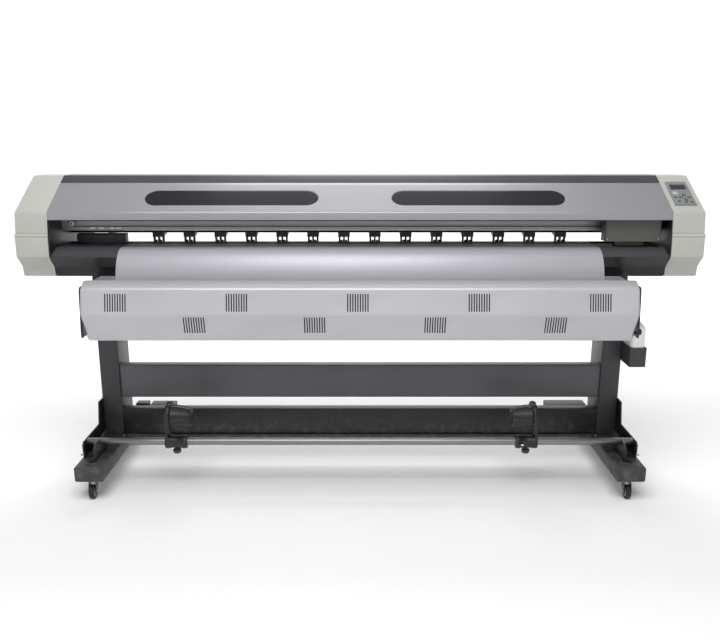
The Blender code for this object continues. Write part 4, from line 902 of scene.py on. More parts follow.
def makeDryer():
    # the case is one grid: its profile rows run along X, end rings shrink by edge * (1 - sin a),
    # and the cells that fall in a vent slot are left out
    low, high = edges("dryer_shell")
    dryer = {"half": 1.056, "sheet": 0.002, "edge": 0.012, "slots": 9, "pitch": 0.0095,
             "slotWidth": 0.0045, "slotHeight": 0.066, "groups": (5, 4), "lifts": (0.045, -0.043),
             "margin": 0.142, "shifts": (-0.008, 0.0565), "taper": 0.013,
             "backY": -0.332, "floorY": -0.365, "browY": -0.375, "creaseDrop": 0.107,
             "browDrop": 0.011, "bottomDrop": 0.216, "topRise": 0.014,
             "baffleY": (-0.349, -0.347), "pivotY": -0.345, "pivotDrop": 0.017, "pivotOut": 0.0068}
    half, edge, slotWidth = dryer["half"], dryer["edge"], dryer["slotWidth"]
    crease, bottom = under - dryer["creaseDrop"], under - dryer["bottomDrop"]
    corners = [(dryer["backY"], bottom), (dryer["floorY"], bottom), (low[1], crease),
               (dryer["browY"], under - dryer["browDrop"]), (dryer["backY"], under + dryer["topRise"])]
    outline = rounded(corners, [0, 0.006, 0.010, 0.014, 0], 6)
    # rows of the grid: outline points plus the slots' ends, put in by height on the two faces
    stops = [crease + lift + way * dryer["slotHeight"] / 2 for lift in dryer["lifts"] for way in (-1, 1)]
    order = np.argsort(outline[1:-1, 1])
    rising = outline[1:-1][order]
    ys = np.interp(stops, rising[:, 1], rising[:, 0])
    rows = np.concatenate([rising, np.column_stack([ys, stops])])
    rows = rows[np.argsort(rows[:, 1])]
    rows = np.concatenate([outline[:1], rows, outline[-1:]])
    normal = inward(rows)
    normal[0], normal[-1] = (0.0, 1.0), (-0.2, -1.0)
    step = 2 * (half - dryer["margin"]) / (dryer["groups"][0] - 1)
    slots = []
    for groups, shift in zip(dryer["groups"], dryer["shifts"]):
        middles = spread(groups, step) + shift
        offsets = spread(dryer["slots"], dryer["pitch"])
        slots.append((middles[:, None] + offsets[None]).ravel() - slotWidth / 2)
    a = np.linspace(0, math.pi / 2, 6)
    ends = half - edge * (1 - np.cos(a))
    inner = np.concatenate([np.concatenate([s, s + slotWidth]) for s in slots])
    xs = np.unique(np.round(np.concatenate([inner, ends, -ends]), 6))
    past = np.clip((np.abs(xs) - half + edge) / edge, 0, 1)
    shrink = edge * (1 - np.sqrt(np.clip(1 - past ** 2, 0, 1)))
    flat = rows[None] + normal[None] * shrink[:, None, None]
    # the ends draw in below the crease, in step with the depth under it
    fall = np.clip((crease - flat[:, :, 1]) / (crease - flat[:, :, 1].min()), 0, 1)
    atEnd = np.clip((np.abs(xs) - half + 0.05) / 0.05, 0, 1)[:, None]
    across = xs[:, None] - np.sign(xs)[:, None] * dryer["taper"] * fall * atEnd
    points = np.concatenate([across[:, :, None], flat], -1)
    faces = np.array(gridFaces(len(xs), len(rows)))
    column, row = faces[:, 0] // len(rows), faces[:, 0] % len(rows)
    middleX = (xs[column] + xs[column + 1]) / 2
    middleZ = (rows[row, 1] + rows[row + 1, 1]) / 2
    keep = np.ones(len(faces), bool)
    for lows, lift in zip(slots, dryer["lifts"]):
        inX = (np.abs(middleX[:, None] - lows[None] - slotWidth / 2) < slotWidth * 0.4).any(1)
        inZ = np.abs(middleZ - crease - lift) < dryer["slotHeight"] / 2 * 0.98
        keep &= ~(inX & inZ)
    size = len(rows)
    caps = [list(range(size)), list(range((len(xs) - 1) * size, len(xs) * size))[::-1]]
    shell = meshObject("dryerCase", points.reshape(-1, 3), faces[keep].tolist() + caps, outward=False)
    shape = bmesh.new()
    shape.from_mesh(shell.data)
    face = max(shape.faces, key=lambda f: -f.calc_center_median().y if abs(f.normal.x) < 0.1 else -9)
    if face.normal.y > 0:
        bmesh.ops.reverse_faces(shape, faces=shape.faces)
    shape.to_mesh(shell.data)
    shape.free()
    thicken(shell, dryer["sheet"]).modifiers["wall"].use_even_offset = False
    dress(softened(shell, 0.0004, 1, 50), "dryer", "dryerPaint", ["dryer_shell"])
    # baffle behind the slots, and one slim fan for each group
    y0, y1 = dryer["baffleY"]
    baffle = slab("dryerBaffle", rectangle((y0, crease - 0.088), (y1, crease + 0.090)),
                  -half + 0.018, half - 0.018, "X", 0.0004, 1)
    dress(baffle, "dryer", "black")
    frames, blades = [], []
    for row, groups in enumerate(dryer["groups"]):
        z = crease + dryer["lifts"][row]
        for i, x in enumerate(spread(groups, step) + dryer["shifts"][row]):
            frames += fanFrame(f"fan_{row}_{i}", (x, y1, z))
            blades += fanRotor(f"rotor_{row}_{i}", (x, y1 + 0.0005, z))
    dress(merged("fanFrames", frames), "dryer", "black")
    dress(merged("fanRotors", blades), "dryer", "rotor")
    pins = []
    pin = [(0.0, 0.0), (0.0075, 0.0), (0.0075, 0.0022), (0.006, 0.003), (0.0, 0.003)]
    for way in (-1, 1):
        centre = (way * (half + dryer["pivotOut"]), dryer["pivotY"], under - dryer["pivotDrop"])
        pins.append(turnedPiece(f"pin_{way}", [(r, way * h) for r, h in pin], centre, "X", 24))
    dress(merged("dryerPivotCaps", pins), "dryer", "steel")
    for word in ("left", "right"):
        softNode(f"dryerArm_{word}", f"dryer_arm_{word}", "machine", "black", 0.0012)
    low, high = edges("dryer_knob")
    centre = (0.0, (low[1] + high[1]) / 2, (low[2] + high[2]) / 2)
    r, end = (high[2] - low[2]) / 2, high[0]
    profile = [(0.003, low[0]), (0.003, end - 0.021), (r - 0.003, end - 0.0205), (r - 0.0005, end - 0.018),
               (r, end - 0.015), (r, end - 0.006), (r - 0.0006, end - 0.003), (r - 0.003, end - 0.0008),
               (r - 0.005, end - 0.0004), (r - 0.006, end - 0.0016), (0.0, end - 0.0016)]
    knob = turnedPiece("dryerKnob", profile, centre, "X", 96, 24, 0.07, (3, 8))
    dress(knob, "dryer_knob", "black", ["dryer_knob"])


def fanFrame(name, centre):
    # square frame whose inner edge is a circle, carried along Y as a tube of four rings
    fan = {"half": 0.031, "corner": 1.32, "bore": 0.0285, "depth": 0.012, "struts": 3, "sides": 32}
    half, depth = fan["half"], fan["depth"]
    turn = np.linspace(0, 2 * math.pi, fan["sides"], endpoint=False)
    direction = np.column_stack([np.cos(turn), np.sin(turn)])
    square = direction * np.minimum(half * fan["corner"], half / np.abs(direction).max(1))[:, None]
    bore = direction * fan["bore"]
    rings = [(square, 0.0), (bore, 0.0), (bore, depth), (square, depth)]
    points = np.concatenate([placed(ring, y, "Y") for ring, y in rings]) + np.array(centre)
    pieces = [meshObject(name, points, gridFaces(4, fan["sides"], wrapRows=True, wrapColumns=True))]
    for i in range(fan["struts"]):
        angle = i * 2 * math.pi / fan["struts"] + 0.5
        path = [np.array(centre) + (r * math.cos(angle), depth - 0.001, r * math.sin(angle))
                for r in (0.010, 0.029)]
        pieces.append(tube(f"{name}_strut_{i}", path, 0.0012, 6))
    return pieces


def fanRotor(name, centre):
    # hub with blades; a blade is a grid in radius and angle whose depth falls with the angle
    fan = {"depth": 0.009, "hub": 0.0115, "blades": 7, "sweep": 0.62, "skew": 14, "sheet": 0.0008}
    depth, hub = fan["depth"], fan["hub"]
    profile = [(0.0, depth), (hub - 0.001, depth), (hub, depth - 0.001), (hub, 0.001), (0.0, 0.001)]
    pieces = [turnedPiece(f"{name}_hub", profile, centre, "Y", 20)]
    r, s = np.meshgrid(np.linspace(0.011, 0.027, 4), np.linspace(0, fan["sweep"], 5), indexing="ij")
    for i in range(fan["blades"]):
        a = i * 2 * math.pi / fan["blades"] + s + (r - 0.011) * fan["skew"]
        points = np.stack([r * np.cos(a), 0.002 + s / fan["sweep"] * (depth - 0.003), r * np.sin(a)], -1)
        blade = meshObject(f"{name}_blade_{i}", points.reshape(-1, 3) + np.array(centre),
                           gridFaces(4, 5), outward=False)
        pieces.append(thicken(blade, fan["sheet"], 0.0))
    return pieces


def makeStand():
    stand = {"round": 0.006, "footRound": 0.009, "slotY": -0.262, "slotLength": 0.052, "slotWidth": 0.040,
             "rim": 0.003, "flange": 0.028, "boltsZ": (0.36, 0.44)}
    slotY = stand["slotY"]
    halfX, halfY = stand["slotWidth"] / 2, stand["slotLength"] / 2
    for word, way in (("left", -1), ("right", 1)):
        legLow, legHigh = edges(f"leg_{word}")
        leg = block(f"legTube_{word}", legLow, legHigh, stand["round"], "Z", 0.001)
        dress(leg, "machine", "charcoal", [f"leg_{word}"])
        low, high = edges(f"foot_{word}")
        foot = block(f"footTube_{word}", low, high, stand["footRound"], "Y", 0.004)
        dress(foot, "machine", "charcoal", [f"foot_{word}"])
        end = block(f"footEnd_{word}", (low[0] + 0.006, high[1] - 0.002, low[2] + 0.006),
                    (high[0] - 0.006, high[1] - 0.0002, high[2] - 0.006), 0.006, "Y", 0.001)
        dress(end, "machine", "black")
        # fixing slot on the foot's top: a thin black plate as painted shade for the recess, a paler wire
        # round it as painted highlight on its edge; with bolts at the leg's flange
        x = (low[0] + high[0]) / 2
        slot = block(f"footSlot_{word}", (x - halfX, slotY - halfY, high[2] - 0.001),
                     (x + halfX, slotY + halfY, high[2] + 0.0009), 0.0195, "Z", 0.0004)
        dress(slot, "machine", "black")
        outerX, outerY = halfX + stand["rim"], halfY + stand["rim"]
        corners = rectangle((x - outerX, slotY - outerY), (x + outerX, slotY + outerY))
        ring = rim(f"footSlotRim_{word}", corners, 0.0225, 6, high[2] + 0.0002, 0.0016, 6)
        dress(ring, "machine", "rimHighlight")
        spots = [(x, y, high[2]) for x in (low[0] + 0.012, high[0] - 0.012)
                 for y in (legLow[1] - 0.014, legHigh[1] + 0.014)]
        dress(screws(f"footBolts_{word}", spots, "Z", 1, 0.006, 0.004), "machine", "steel")
        plate = block(f"legFlange_{word}", (low[0] + 0.004, legHigh[1] + 0.0003, high[2]),
                      (high[0] - 0.004, legHigh[1] + stand["flange"], high[2] + 0.0012), 0.004, "Z", 0.0004)
        dress(plate, "machine", "charcoal")
        side = legHigh[0] if way > 0 else legLow[0]
        spots = [(side, y, z) for y in (legLow[1] + 0.03, legHigh[1] - 0.03) for z in stand["boltsZ"]]
        dress(screws(f"legBolts_{word}", spots, "X", way, 0.006, 0.004), "machine", "steel")
    # the crossbar takes the lightened stand coat, painted light
    dress(block("crossbarTube", *edges("crossbar"), 0.008, "X", 0.0004), "machine", "crossbar", ["crossbar"])
    low, high = edges("lower_beam")
    flangeTop = edges("foot_left")[1][2] + 0.0035
    # the beam tube takes the darkened stand coat, painted shade
    beam = block("lowerBeamTube", (low[0], low[1] + 0.012, flangeTop), (high[0], high[1] - 0.012, high[2]),
                 0.006, "X", 0.0004)
    dress(beam, "machine", "beamShaded", ["lower_beam"])
    reach = edges("foot_right")[0][0] - 0.0003
    flange = block("lowerBeamFlange", (-reach, low[1], low[2]), (reach, high[1], flangeTop), 0.0045,
                   "X", 0.0008)
    dress(flange, "machine", "charcoal")


def makeStandBoxes():
    # cable boxes and the power unit behind the lower beam: x, x, z, z, depth
    boxes = {
        "junctionBox": (-1.020, -0.965, 0.215, 0.275, 0.045, "black"),
        "powerUnit": (-0.955, -0.845, 0.222, 0.268, 0.060, "charcoal"),
        "supplyBox": (0.850, 1.030, 0.216, 0.268, 0.070, "charcoal"),
    }
    y = edges("lower_beam")[1][1] + 0.0004
    for name, (x0, x1, z0, z1, depth, finish) in boxes.items():
        dress(block(name, (x0, y, z0), (x1, y + depth, z1), 0.004, "X", 0.003), "machine", finish)


def makeTakeupBrackets():
    # plates carried along X; slanted slots show as raised strips of painted highlight along their edges
    bracket = {"slots": 6, "pitch": 0.016, "length": 0.014, "tilt": 0.006, "width": 0.004, "stagger": 0.002}
    railLow, railHigh = edges("media_rail")
    axis = (railLow + railHigh) / 2 * (0, 1, 1)
    r = (railHigh[2] - railLow[2]) / 2
    for word, way in (("left", -1), ("right", 1)):
        node = f"takeup_bracket_{word}"
        softNode(f"takeupBracket_{word}", node, "machine", "black", 0.0016)
        low, high = edges(node)
        outer = high[0] if way > 0 else low[0]
        legFront = edges(f"leg_{word}")[0][1]
        marks = []
        for i in range(bracket["slots"]):
            z = low[2] + 0.030 + i * bracket["pitch"]
            y = legFront - 0.016 - (i % 2) * bracket["stagger"]
            y0, y1 = y - bracket["length"] / 2, y + bracket["length"] / 2
            width, tilt = bracket["width"], bracket["tilt"]
            outline = [(y0, z), (y1, z + tilt), (y1, z + tilt + width), (y0, z + width)]
            marks.append(slab(f"mark_{word}_{i}", outline, outer - way * 0.001, outer + way * 0.0006,
                              "X", 0.0003, 1))
        dress(merged(f"bracketSlots_{word}", marks), "machine", "highlightStrip")
        spots = [(outer, low[1] + 0.022, low[2] + 0.020), (outer, low[1] + 0.10, low[2] + 0.020),
                 (outer, legFront + 0.018, high[2] - 0.014), (outer, legFront + 0.018, low[2] + 0.05)]
        dress(screws(f"bracketBolts_{word}", spots, "X", way, 0.005, 0.0035), "machine", "steel")
        end = railHigh[0] * way
        profile = [(0.0, end - way * 0.002), (r - 0.003, end - way * 0.002), (r - 0.0026, end - way * 0.0005)]
        dress(turnedPiece(f"railPlug_{word}", profile, axis, "X", 32), "machine", "black")


def makeMediaRail():
    low, high = edges("media_rail")
    r, end = (high[2] - low[2]) / 2, high[0]
    inner, lip = r - 0.0025, r - 0.0008
    outside = [(r, x) for x in np.linspace(-end + 0.001, end - 0.001, 9)]
    profile = [(inner, -end), (lip, -end), *outside, (lip, end), (inner, end), (inner, -end)]
    rail = turnedPiece("mediaRail", profile, middleOf("media_rail") * (0, 1, 1), "X", 64)
    dress(rail, "machine", "tube", ["media_rail"])


def makeHolders():
    # clamp collar, arm and stub ride on the holder; the lobed core cone turns on the stub
    holder = {"collarR": 0.029, "collarHalf": 0.045, "band": 0.020, "armDepth": 0.012, "stubR": 0.010,
              "stubLength": 0.102, "knobR": 0.016, "knobHeight": 0.019}
    tubeLow, tubeHigh = edges("media_rail")
    ty, tz = middleOf("media_rail")[1:]
    bore = (tubeHigh[2] - tubeLow[2]) / 2 + 0.0003
    r, half, band = holder["collarR"], holder["collarHalf"], holder["band"]
    collar = [(bore, -half), (r - 0.003, -half), (r - 0.0008, -half + 0.001), (r, -half + 0.003),
              (r, -half + band), (r - 0.0025, -half + band + 0.003), (r - 0.0025, half - band - 0.003),
              (r, half - band), (r, half - 0.003), (r - 0.0008, half - 0.001), (r - 0.003, half),
              (bore, half), (bore, -half)]
    for word, way in (("left", -1), ("right", 1)):
        body = f"holder_{word}"
        low, high = edges(f"roll_holder_{word}")
        coneLow, coneHigh = edges(f"roll_cone_{word}")
        coreZ = (coneLow[2] + coneHigh[2]) / 2
        x = (high[0] if way > 0 else low[0]) - way * half
        pieces = [turnedPiece(f"collar_{word}", collar, (x, ty, tz), "X", 48)]
        armFar = x + way * (half - 0.001)
        armNear = armFar - way * holder["armDepth"]
        foot, top = tz + 0.016, coreZ + 0.018
        arm = rounded([(ty - 0.020, foot), (ty - 0.016, top), (ty + 0.016, top), (ty + 0.020, foot)],
                      [0, 0.012, 0.012, 0], 6)
        pieces.append(slab(f"arm_{word}", arm, armNear, armFar, "X", 0.002))
        foot, top = tz + 0.03, coreZ - 0.012
        rib = [(ty - 0.010, foot), (ty - 0.008, top), (ty + 0.008, top), (ty + 0.010, foot)]
        rib = rounded(rib, 0.003, 3)
        pieces.append(slab(f"armRib_{word}", rib, armFar - way * 0.0002, armFar + way * 0.0008,
                           "X", 0.0004, 2))
        stubR, stubEnd = holder["stubR"], armNear - way * holder["stubLength"]
        profile = [(0.0, armNear), (stubR, armNear), (stubR, stubEnd + way * 0.002),
                   (stubR - 0.0015, stubEnd), (0.0, stubEnd)]
        pieces.append(turnedPiece(f"stub_{word}", profile, (0, ty, coreZ), "X", 32))
        dress(merged(f"rollHolder_{word}", pieces), body, "black", [f"roll_holder_{word}"])
        knobR, z0, z1 = holder["knobR"], low[2], low[2] + holder["knobHeight"]
        profile = [(0.0, z0 + 0.0003), (0.011, z0 + 0.0003), (knobR - 0.0015, z0 + 0.002),
                   (knobR, z0 + 0.005), (knobR, z1 - 0.004), (knobR - 0.0015, z1 - 0.001), (0.008, z1),
                   (0.006, tz - r + 0.002), (0.0, tz - r + 0.002)]
        knob = turnedPiece(f"clampKnob_{word}", profile, (x, ty, 0.0), "Z", 72, 6, 0.16, (1, 6))
        dress(knob, body, "blackGloss")
        if way > 0:
            lever = block(f"clampLever_{word}", (x - 0.030, ty - 0.040, tz - 0.006),
                          (x - 0.016, ty - 0.024, tz + 0.006), 0.003, "Y", 0.002)
            dress(lever, body, "blackGloss")
            # glowing pale plate on the lever's tip: painted glint, the lever has no lamp
            tip = block(f"leverGlint_{word}", (x - 0.0285, ty - 0.0412, tz - 0.0035),
                        (x - 0.0175, ty - 0.0392, tz + 0.0035), 0.002, "Y", 0.0006)
            dress(tip, body, "lamp")
        makeCone(word, way, (armNear - way * 0.0003, ty, coreZ), coneHigh[0] - coneLow[0])


def makeCone(word, way, centre, length):
    # a round flange with gripping lobes, a stepped body and a tapered nose with flutes
    cone = {"flange": 0.065, "flangeWidth": 0.018, "body": 0.048, "tip": 0.036, "bore": 0.0103,
            "shoulder": 0.44, "fins": 6, "finDepth": 0.004, "finWidth": 0.0024, "grips": 12, "gripR": 0.0013}
    f, w, b, t = cone["flange"], cone["flangeWidth"], cone["body"], cone["tip"]
    bore, shoulder = cone["bore"], cone["shoulder"] * length
    shape = [(bore, 0.0), (f - 0.012, 0.0), (f - 0.010, 0.002), (f - 0.006, 0.0006), (f - 0.002, 0.001),
             (f - 0.0005, 0.004), (f, w * 0.5), (f - 0.0005, w - 0.003), (f - 0.003, w), (b + 0.003, w),
             (b + 0.0006, w + 0.002), (b, w + 0.006), (b, shoulder), (b - 0.001, shoulder + 0.03 * length),
             (t + 0.002, length - 0.006), (t, length - 0.002), (t - 0.003, length), (bore + 0.006, length),
             (bore + 0.005, length - 0.004), (bore, length - 0.004), (bore, 0.0)]
    profile = [(radius, -way * along) for radius, along in shape]
    wheel = turnedPiece(f"coneWheel_{word}", profile, centre, "X", 144, 12, 0.05, (4, 8))
    dress(wheel, f"cone_{word}", "black", [f"roll_cone_{word}"], 35)
    half = cone["finWidth"] / 2
    outline = np.array([(0.018, -half), (b - 0.001, -half), (b - 0.001, half), (0.018, half)])
    fins = []
    for i in range(cone["fins"]):
        angle = i * 2 * math.pi / cone["fins"]
        turn = np.array([[math.cos(angle), math.sin(angle)], [-math.sin(angle), math.cos(angle)]])
        fins.append(slab(f"fin_{word}_{i}", outline @ turn + np.array(centre[1:]), centre[0] + way * 0.0004,
                         centre[0] - way * cone["finDepth"], "X", 0.0004, 1))
    dress(merged(f"coneFins_{word}", fins), f"cone_{word}", "blackGloss")
    grips = []
    line = ((0.030, b + 0.0004), (shoulder, b + 0.0004), (length - 0.008, t + 0.0022))
    for i in range(cone["grips"]):
        angle = (i + 0.5) * 2 * math.pi / cone["grips"]
        path = [(centre[0] - way * d, centre[1] + r * math.cos(angle), centre[2] + r * math.sin(angle))
                for d, r in line]
        grips.append(tube(f"grip_{word}_{i}", path, cone["gripR"], 6))
    dress(merged(f"coneGrips_{word}", grips), f"cone_{word}", "rubber")


def makeCasters():
    # twin cheeks and a hooded crown on a swivel disc; the wheel has a tread, a rim ring and a hub
    caster = {"trail": 0.020, "discR": 0.024, "step": 0.0015, "gap": 0.0015, "cheek": 0.0035,
              "boltR": 0.0058, "rims": (0.0043, 0.009, 0.010, 0.0145, 0.0155), "tread": 0.009}
    names = [(f"{end}_{word}", front) for word in ("left", "right")
             for end, front in (("front", -1), ("rear", 1))]
    for name, front in names:
        fork, wheel = f"fork_{name}", f"wheel_{name}"
        top = edges(f"caster_fork_{name}")[1][2]
        wheelLow, wheelHigh = edges(f"caster_wheel_{name}")
        x, y, z = axle = (wheelLow + wheelHigh) / 2
        swivelY = y - front * caster["trail"]
        half, _, radius = (wheelHigh - wheelLow) / 2
        r, s = caster["discR"], caster["step"]
        disc = [(0.0, 0.0), (r - s, 0.0), (r, 0.001), (r, 0.004), (r - s, 0.005), (r - s, 0.0062),
                (r, 0.0072), (r, 0.0095), (r - s, 0.0105), (0.0, 0.0105)]
        plate = turnedPiece(f"casterPlate_{name}", [(u, top - drop) for u, drop in disc], (x, swivelY, 0.0),
                            "Z", 48)
        dress(plate, fork, "steel")
        inside = half + caster["gap"]
        outer = inside + caster["cheek"]
        outline = [(swivelY - front * 0.019, top - 0.009), (swivelY + front * 0.019, top - 0.009),
                   (y + front * 0.013, z + 0.004), (y + front * 0.008, z - 0.009),
                   (y - front * 0.008, z - 0.009), (y - front * 0.013, z + 0.002)]
        shape = rounded(outline, [0.004, 0.004, 0.006, 0.006, 0.006, 0.006], 4)
        cheeks = [slab(f"cheek_{name}_{way}", shape, x + way * inside, x + way * outer, "X", 0.0012)
                  for way in (-1, 1)]
        cheeks.append(block(f"crown_{name}", (x - inside - 0.002, swivelY - 0.0185, top - 0.0165),
                            (x + inside + 0.002, swivelY + 0.0185, top - 0.009), 0.003, "Z", 0.002))
        dress(merged(f"casterFork_{name}", cheeks), fork, "blackGloss", [f"caster_fork_{name}"])
        bolts = []
        for way in (-1, 1):
            bolt = [(0.0, 0.0), (caster["boltR"], 0.0), (caster["boltR"], way * 0.0022),
                    (caster["boltR"] - 0.0013, way * 0.003), (0.0, way * 0.003)]
            bolts.append(turnedPiece(f"axle_{name}_{way}", bolt, (x + way * (outer - 0.0002), y, z), "X", 24))
        dress(merged(f"casterAxle_{name}", bolts), fork, "steel")
        # both wheel profiles are halves that mirror in the middle of the wheel
        inner = radius - caster["tread"]
        tread = [(inner, half - 0.0008), (radius - 0.0045, half), (radius - 0.0012, half - 0.002),
                 (radius, half - 0.005)]
        dress(turnedPiece(f"casterTread_{name}", mirrored(tread), axle, "X", 64), wheel, "rubber",
              [f"caster_wheel_{name}"])
        a, b, c, d, e = caster["rims"]
        hub = [(a, half - 0.001), (b, half - 0.0004), (c, half - 0.003), (d, half - 0.003),
               (e, half - 0.0006), (inner + 0.0002, half - 0.0006)]
        dress(turnedPiece(f"casterHub_{name}", mirrored(hub), axle, "X", 48), wheel, "hubGrey")


def mirrored(half):
    # closed profile: the given half on the low side, then back on the high side
    low = [(radius, -along) for radius, along in half]
    return [*low, *half[::-1], low[0]]


def makeWaste():
    low, high = edges("waste_tray")
    softNode("wasteTray", "waste_tray", "machine", "charcoal", 0.0011)
    corners = rectangle(low[:2] + 0.001, high[:2] - 0.001)
    dress(rim("trayRim", corners, 0.003, 3, high[2] - 0.001, 0.0014, 8), "machine", "charcoal")
    # bottle: rings whose outline goes from a superellipse, |x|^7 + |y|^7 = 1, to the round neck while
    # the shoulder's size falls along a quarter circle
    bottle = {"capR": 0.018, "capHeight": 0.030, "shoulder": 0.032, "ribs": 3, "ribDepth": 0.012,
              "neckR": 0.0165, "neckShare": 0.30, "power": 7.0, "sides": 64}
    low, high = edges("waste_bottle")
    centre, half = (low[:2] + high[:2]) / 2, (high[:2] - low[:2]) / 2
    top = high[2] - bottle["capHeight"]
    sides, share = bottle["sides"], bottle["neckShare"]
    turn = np.linspace(0, 2 * math.pi, sides, endpoint=False)
    direction = np.column_stack([np.cos(turn), np.sin(turn)])
    wall = np.linspace(0.010, top - low[2] - bottle["shoulder"], 34)
    rib = np.sin(wall / wall[-1] * math.pi * 2 * bottle["ribs"]) > 0.72
    bend = np.linspace(0, math.pi / 2, 9)[1:]
    levels = [(0.0, 0.93), (0.001, 0.965), (0.004, 1.0), *zip(wall, 1 - bottle["ribDepth"] * rib)]
    levels += [(wall[-1] + bottle["shoulder"] * math.sin(v) * 0.985, share + (1 - share) * math.cos(v))
               for v in bend]
    box = (np.abs(direction) ** bottle["power"]).sum(1) ** (-1 / bottle["power"])
    rows = []
    for z, size in levels:
        blend = np.clip((size - share) / (1 - share), 0, 1) ** 0.5
        flat = direction * box[:, None] * half * size * blend + direction * bottle["neckR"] * (1 - blend)
        rows.append(np.column_stack([flat + centre, np.full(sides, low[2] + z)]))
    neck = direction * (bottle["neckR"] - 0.001) + centre
    rows.append(np.column_stack([neck, np.full(sides, top + 0.002)]))
    shell = meshObject("wasteBottle", np.concatenate(rows), capped(len(rows), sides))
    dress(shell, "bottle", "milky", ["waste_bottle"], 50)
    r, z = bottle["capR"], high[2]
    profile = [(0.0, top + 0.001), (r - 0.001, top + 0.001), (r, top + 0.002), (r, z - 0.004),
               (r - 0.0012, z - 0.0012), (r - 0.004, z - 0.0002), (0.0, z - 0.0002)]
    cap = turnedPiece("bottleCap", profile, (*centre, 0.0), "Z", 120, 40, 0.035, (1, 4))
    dress(cap, "bottle", "black")


def makePanel():
    # overlay plate, bezel, display, three status bars and raised keys, laid out on the slope
    panel = {"face": 0.0020, "bezel": (0.061, 0.029), "displayV": 0.040, "bars": 3, "barPitch": 0.006,
             "keyU": 0.010, "keyV": -0.028, "spread": 0.016, "keyRise": 0.0014,
             "extraKeys": [(-0.020, -0.054), (0.006, -0.060), (0.028, -0.060), (-0.028, -0.028)]}
    origin = middleOf("control_panel")
    tilt, face = head["slope"], panel["face"]
    axes = np.array([[1, 0, 0], [0, math.cos(tilt), math.sin(tilt)], [0, -math.sin(tilt), math.cos(tilt)]])

    def onPanel(name, u, v, width, height, w0, w1, radius, edge):
        # rounded plate in panel coordinates, then turned onto the slope
        piece = block(name, (-width / 2, -height / 2, w0), (width / 2, height / 2, w1), radius, "Z", edge)
        flat = np.empty(len(piece.data.vertices) * 3)
        piece.data.vertices.foreach_get("co", flat)
        turned = origin + (flat.reshape(-1, 3) + (u, v, 0)) @ axes
        piece.data.vertices.foreach_set("co", turned.ravel())
        piece.data.update()
        return piece

    softNode("panelPlate", "control_panel", "machine", "panel", 0.0008)
    (u, w), v = np.array(panel["bezel"]) / 2, panel["displayV"]
    bezel = rounded(rectangle((-u, v - w), (u, v + w)), 0.003, 4)
    path = origin + np.column_stack([bezel, np.full(len(bezel), face + 0.0002)]) @ axes
    dress(tube("displayBezel", path, 0.0013, 8, closed=True), "machine", "black")
    softNode("displayGlass", "display", "machine", "display", 0.0004)
    bars = [onPanel(f"bar_{i}", -0.022, (1 - i) * panel["barPitch"], 0.020, 0.0030, face - 0.0002,
                    face + 0.0006, 0.0012, 0.0003) for i in range(panel["bars"])]
    dress(merged("statusBars", bars), "machine", "lamp")
    # each key has a small raised arrow that points away from the middle of the four
    low, high = face + panel["keyRise"] - 0.0006, face + panel["keyRise"] + 0.00015
    arrow = np.array([(0.0024, 0.0), (-0.0014, 0.0022), (-0.0014, -0.0022)])
    arrowFaces = [[0, 1, 2], [3, 4, 5], [0, 1, 4, 3], [1, 2, 5, 4], [2, 0, 3, 5]]
    for word, u, v in (("left", -1, 0), ("right", 1, 0), ("up", 0, 1), ("down", 0, -1)):
        softNode(f"keyCap_{word}", f"key_{word}", f"key_{word}", "key", 0.0008)
        place = (panel["keyU"] + u * panel["spread"], panel["keyV"] + v * panel["spread"])
        tips = arrow @ np.array([[u, v], [-v, u]]) + place
        points = np.concatenate([np.column_stack([tips, np.full(3, w)]) for w in (low, high)])
        mark = meshObject(f"arrow_{word}", origin + points @ axes, arrowFaces)
        dress(mark, f"key_{word}", "print")
    keys = [onPanel(f"extra_{i}", u, v, 0.012, 0.007, face - 0.0004, face + 0.0012, 0.003, 0.0006)
            for i, (u, v) in enumerate(panel["extraKeys"])]
    dress(merged("extraKeys", keys), "machine", "key")


makeEndCovers()
makeLid()
makeRearCover()
makeHinge()
makeChassis()
makeRail()
makeLowerCovers()
makeApron()
makePlaten()
makePinchBank()
print("media path made")
makeCarriage()
makeDrive()
makeDryer()
print("carriage and dryer made")
makeStand()
makeStandBoxes()
makeTakeupBrackets()
makeMediaRail()
makeHolders()
makeCasters()
makeWaste()
makePanel()
print("stand made")


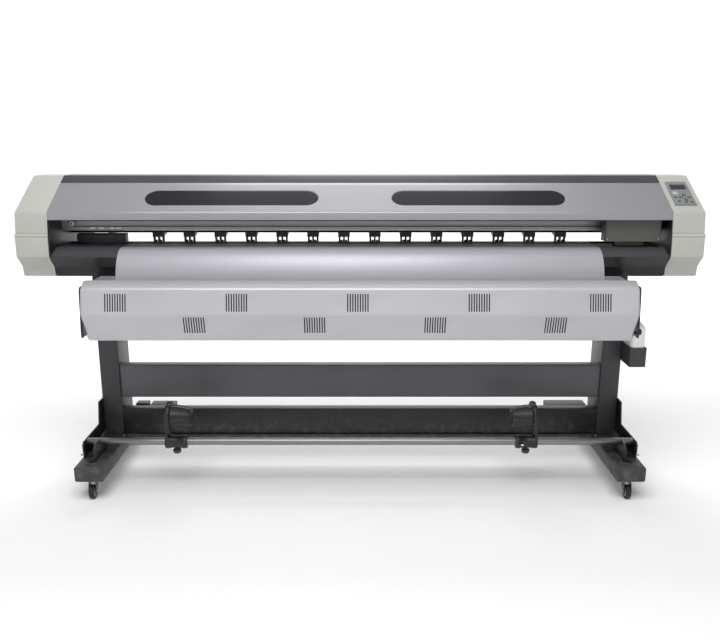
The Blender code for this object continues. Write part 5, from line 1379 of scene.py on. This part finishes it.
def makeStudio():
    # round studio: a flat pale floor that sweeps up into a wall, lit from above and in front
    studio = {"sky": 0.28, "floor": (247, 247, 247), "flat": 8.0, "bend": 2.5, "height": 7.0}
    a = np.linspace(0, math.pi / 2, 9)
    flat, bend = studio["flat"], studio["bend"]
    profile = [(0.02, 0.0), (2.0, 0.0), (flat, 0.0),
               *zip(flat + bend * np.sin(a), bend * (1 - np.cos(a))), (flat + bend, studio["height"])]
    floor = turnedPiece("floor", profile, (0.0, 0.0, 0.0), "Z", 96)
    shape = bmesh.new()
    shape.from_mesh(floor.data)
    hole = [edge for edge in shape.edges if edge.is_boundary and edge.verts[0].co.z < 0.001]
    bmesh.ops.contextual_create(shape, geom=hole)
    shape.to_mesh(floor.data)
    shape.free()
    s = Shader("studio_floor")
    tone = s.mix(s.noise(0.6, 2.0), linear(*studio["floor"]), linear(244, 244, 244))
    floor.data.materials.append(s.set(Base_Color=tone, Roughness=0.9))
    floor.data.shade_smooth()
    world = bpy.data.worlds.new("sky")
    world.use_nodes = True
    world.node_tree.nodes["Background"].inputs["Color"].default_value = (1, 1, 1, 1)
    world.node_tree.nodes["Background"].inputs["Strength"].default_value = studio["sky"]
    bpy.context.scene.world = world
    lamps = [("key", (-0.3, -2.3, 4.8), (0.0, 0.0, 0.7), 3.4, 195.0),
             ("back", (0.0, 3.2, 4.4), (0.0, 0.3, 0.7), 3.0, 130.0),
             ("wall", (0.0, 4.2, 5.6), (0.0, 10.5, 1.8), 6.0, 560.0),
             ("frontWall", (0.0, -5.0, 5.8), (0.0, -10.5, 1.8), 6.0, 110.0)]
    for name, place, target, size, power in lamps:
        lamp = bpy.data.lights.new(name, "AREA")
        lamp.shape = "SQUARE"
        lamp.size = size
        lamp.energy = power
        made = linked(name, lamp)
        made.location = place
        aim = np.array(target) - np.array(place)
        made.rotation_euler = (math.atan2(math.hypot(aim[0], aim[1]), -aim[2]), 0.0,
                               math.atan2(aim[1], aim[0]) - math.pi / 2)
    bpy.context.scene.view_settings.view_transform = "Standard"


makeStudio()
print("studio made")
